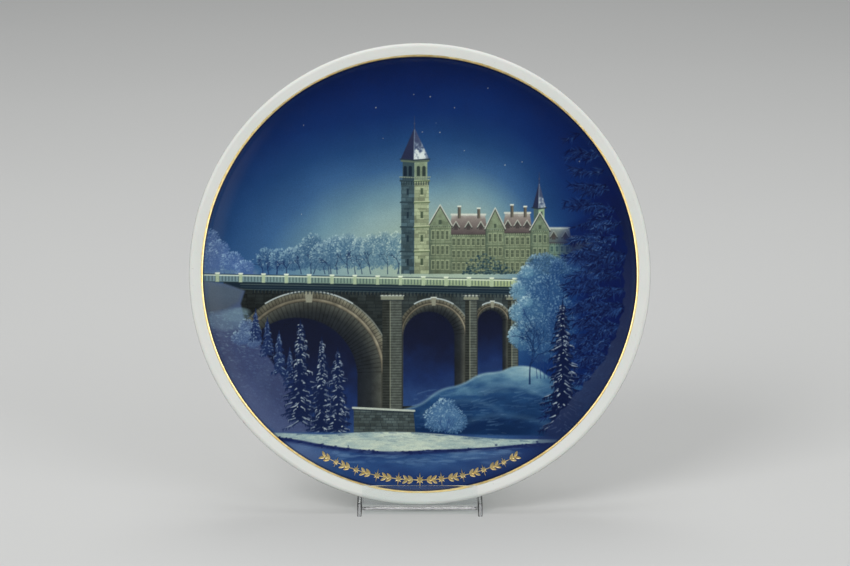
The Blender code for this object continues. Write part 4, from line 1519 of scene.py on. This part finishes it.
def on_back(point):
    """Lays a point of the flat stamp onto the glaze inside the foot, its z axis out of the back."""
    return Vector((point.x, point.y, FOOT_HEIGHT + STAMP_LIFT - point.z))


def build_stamp(material):
    """The blue stamp on the back, a star in a ring, lying on the glaze inside the foot."""
    points, faces = [], []
    inner = STAMP_RADIUS - STAMP_RING_WIDTH
    upper = [(STAMP_RADIUS - STAMP_SLOPE, STAMP_HEIGHT), (inner + STAMP_SLOPE, STAMP_HEIGHT)]
    section = [(inner, 0), (STAMP_RADIUS, 0)] + upper
    for turn in round_turns(STAMP_STEPS):
        for away, rise in section:
            points.append(on_back(Vector((away * math.cos(turn), away * math.sin(turn), rise))))
    rings = numbered(0, len(section), STAMP_STEPS)
    join_rings(faces, rings + rings[:1])
    middle = Vector((0, 0))
    add_cushion(points, faces, star_outline(middle, inner + 0.1 * MM), STAMP_HEIGHT, middle, on_back)
    piece = new_piece("blue_back_stamp", points, faces, material, PLATE)
    correct_normals(piece)
    settle(piece, "plate", "back_stamp")


def correct_normals(piece):
    work = bmesh.new()
    work.from_mesh(piece.data)
    bmesh.ops.recalc_face_normals(work, faces=work.faces)
    work.to_mesh(piece.data)
    work.free()


# ---- The stand, drawn side-on in the YZ plane ----


def leaning(up, out):
    """A point given up the plate's plane and out of its face, in side view."""
    foot = PLATE.translation
    return Vector((foot.y, foot.z)) + up * LIFT_AXIS.yz + out * FACE_AXIS.yz


def leaning_at_height(height, out):
    """The point of a plane parallel to the plate that lies at this height above the table."""
    return leaning((height - leaning(0, out).y) / LIFT_AXIS.z, out)


def sheet_piece(name, outline, sawn, material, node):
    """A side outline carried across its CAD node's width. Its edges are finely rounded, and the faces
    whose numbers are in sawn are frosted."""
    low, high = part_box(node)
    points = [(x, corner.x, corner.y) for x in (low.x, high.x) for corner in outline]
    near, far = numbered(0, len(outline), 2)
    faces = [tuple(near), tuple(far[::-1])]
    join_rings(faces, [far, near])
    piece = new_piece(name, points, faces, material)
    frost = np.zeros(len(faces), np.float32)
    frost[sawn] = 1
    piece.data.attributes.new("sawn", "FLOAT", "FACE").data.foreach_set("value", frost)
    correct_normals(piece)
    bevel = piece.modifiers.new("eased_edges", "BEVEL")
    bevel.width = SHEET_BEVEL
    bevel.segments = 3
    bevel.limit_method = "ANGLE"
    bevel.angle_limit = BEVELLED_ANGLE
    piece.data.set_sharp_from_angle(angle=SHARP_ANGLE)
    settle(piece, "stand", node)


def cradle_outline():
    """The bent strip's section: along the plate's side, then back along the far side of the sheet."""
    front = edge_centre().y + EDGE_ROUND + FIT_GAP
    outline = []
    for depth, bend in ((0, BEND_RADIUS), (SHEET, BEND_RADIUS + SHEET)):
        shelf_front = leaning_at_height(SHELF_TOP - depth, front + depth)
        lip_foot = leaning_at_height(SHELF_TOP, front)
        lip_top = lip_foot + LIP_REACH * LIFT_AXIS.yz + depth * FACE_AXIS.yz
        shelf_back = leaning_at_height(SHELF_TOP - depth, -FIT_GAP - depth)
        rest_end = leaning(REST_TOP - REST_CROWN, -FIT_GAP - depth)
        side = rounded([lip_top, shelf_front, shelf_back, rest_end], [0, bend, bend, 0])
        outline += side if depth == 0 else side[::-1]
    return outline


def cheek_outline():
    """A cheek's outline: low nose under the plate's edge, rest up the plate's back, long sloping tail."""
    low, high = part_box("stand_left_cheek")
    crown = leaning(REST_TOP, -FIT_GAP)
    corners = [
        Vector((low.y, low.z)),
        Vector((low.y, low.z + NOSE_HEIGHT)),
        leaning_at_height(low.z + NOSE_HEIGHT, -FIT_GAP),
        crown,
        crown + REST_CROWN * Vector((LIFT_AXIS.z, -LIFT_AXIS.y)),
        Vector((high.y, low.z + TAIL_HEIGHT)),
        Vector((high.y, low.z)),
    ]
    radii = [0, NOSE_ROUND, CHEEK_ROUND, CHEEK_ROUND, CHEEK_ROUND, CHEEK_ROUND, 0]
    return rounded(corners, radii)


def build_stand(material):
    """The cradle, sawn at its sides and its two ends, and the cheeks, sawn all round their outline."""
    outline = cradle_outline()
    sawn = [0, 1, 2, 2 + len(outline) // 2]
    sheet_piece("acrylic_cradle", outline, sawn, material, "stand_cradle")
    outline = cheek_outline()
    sawn = list(range(2, 2 + len(outline)))
    for side in ("left", "right"):
        sheet_piece(f"acrylic_{side}_cheek", outline, sawn, material, f"stand_{side}_cheek")


def build_floor():
    """A pale table top that runs well past the object."""
    look = Look("pale_table")
    faint = look.between(look.noise(500 * MM, 2.0), 0.0, 1.0)
    look.set(
        Base_Color=look.mix(faint, (0.60, 0.60, 0.59), (0.61, 0.61, 0.60)),
        Roughness=look.between(look.noise(20 * MM), 0.5, 0.6),
        Specular_IOR_Level=0.0,
    )
    corners = ((-1, -1), (1, -1), (1, 1), (-1, 1))
    points = [(x * FLOOR_REACH, y * FLOOR_REACH, CAD_LOW.z - FLOOR_GAP) for x, y in corners]
    floor = new_piece("table_top", points, [(0, 1, 2, 3)], look.material)
    floor.visible_glossy = False


def softbox(name, place, size, power, receivers=None):
    """A square lamp that faces the object. It lights surfaces but isn't mirrored in the glaze, unless it
    has receivers: then it lights only those pieces, highlights included."""
    light = bpy.data.lights.new(name, "AREA")
    light.shape = "SQUARE"
    light.size = size
    light.energy = power
    lamp = bpy.data.objects.new(name, light)
    bpy.context.scene.collection.objects.link(lamp)
    aim = (CAD_LOW + CAD_HIGH) / 2
    lamp.location = place
    lamp.rotation_euler = (aim - Vector(place)).to_track_quat("-Z", "Y").to_euler()
    if receivers:
        lamp.light_linking.receiver_collection = receivers
    else:
        lamp.visible_glossy = False


def light_room():
    """A pale room for diffuse light and for what shows through the acrylic. It is dim where the glaze
    mirrors it."""
    world = bpy.data.worlds.new("studio")
    bpy.context.scene.world = world
    world.use_nodes = True
    tree = world.node_tree
    path = add_node(tree, "LightPath").outputs
    outside = add_node(tree, "Math", {0: path["Transmission Depth"], 1: 0.5}, operation="LESS_THAN")
    both = {0: path["Is Glossy Ray"], 1: outside.outputs[0]}
    mirrored = add_node(tree, "Math", both, operation="MULTIPLY")
    levels = {"Value": mirrored.outputs[0], "To Min": ROOM_LIGHT, "To Max": side_glow(tree)}
    level = add_node(tree, "MapRange", levels).outputs["Result"]
    seen = {0: path["Is Camera Ray"], 1: BACKDROP - ROOM_LIGHT, 2: level}
    strength = add_node(tree, "Math", seen, operation="MULTIPLY_ADD").outputs[0]
    room = tree.nodes["Background"].inputs
    feed(tree, room["Color"], (0.97, 0.99, 1.0))
    feed(tree, room["Strength"], strength)


def side_glow(tree):
    """What the glaze mirrors: a dim room that brightens far out to the right."""
    place = add_node(tree, "TexCoord").outputs["Generated"]
    values = {"Value": add_node(tree, "SeparateXYZ", {0: place}).outputs["X"]}
    values.update({"From Min": 0.6, "From Max": 0.98, "To Min": MIRRORED_ROOM, "To Max": MIRRORED_WINDOW})
    return add_node(tree, "MapRange", values, interpolation_type="SMOOTHSTEP").outputs["Result"]


def light_scene(gilded):
    """Soft light from above, both sides and the front. The glow boxes light only the gold, which makes
    it gleam."""
    light_room()
    softbox("key", (-0.9, -1.0, 1.3), 0.9, 13)
    softbox("fill", (1.1, -0.9, 0.8), 0.9, 6)
    softbox("top", (0.0, 0.5, 1.5), 0.8, 8)
    receivers = bpy.data.collections.new("gilded_pieces")
    for piece in gilded:
        receivers.objects.link(piece)
    for side in (-1, 1):
        softbox(f"glow_{side + 2}", (0.8 * side, -0.9, 0.5), 0.9, 9, receivers)


def place_camera():
    """Square to the plate, which sits a little left of and above the middle of the picture."""
    scene = bpy.context.scene
    across, down = VIEW_SHIFT
    rim = PLATE @ Vector((0, 0, edge_centre().y))
    camera = bpy.data.objects.new("camera", bpy.data.cameras.new("camera"))
    scene.collection.objects.link(camera)
    camera.data.sensor_width = SENSOR
    camera.data.lens = SENSOR * VIEW_DISTANCE / VIEW_WIDTH
    camera.location = rim + Vector((across, 0, 0)) - down * LIFT_AXIS + VIEW_DISTANCE * FACE_AXIS
    camera.rotation_euler = FACE_AXIS.to_track_quat("Z", "Y").to_euler()
    scene.camera = camera
    scene.view_settings.view_transform = "Standard"


def main():
    porcelain = glaze_look()
    build_porcelain(porcelain)
    build_picture(picture_look())
    gold = gold_look("bright_gold")
    gilded = [build_gold_line(gold), build_garland(gold)]
    build_stamp(stamp_look())
    build_stand(acrylic_look())
    build_floor()
    light_scene(gilded)
    place_camera()


main()
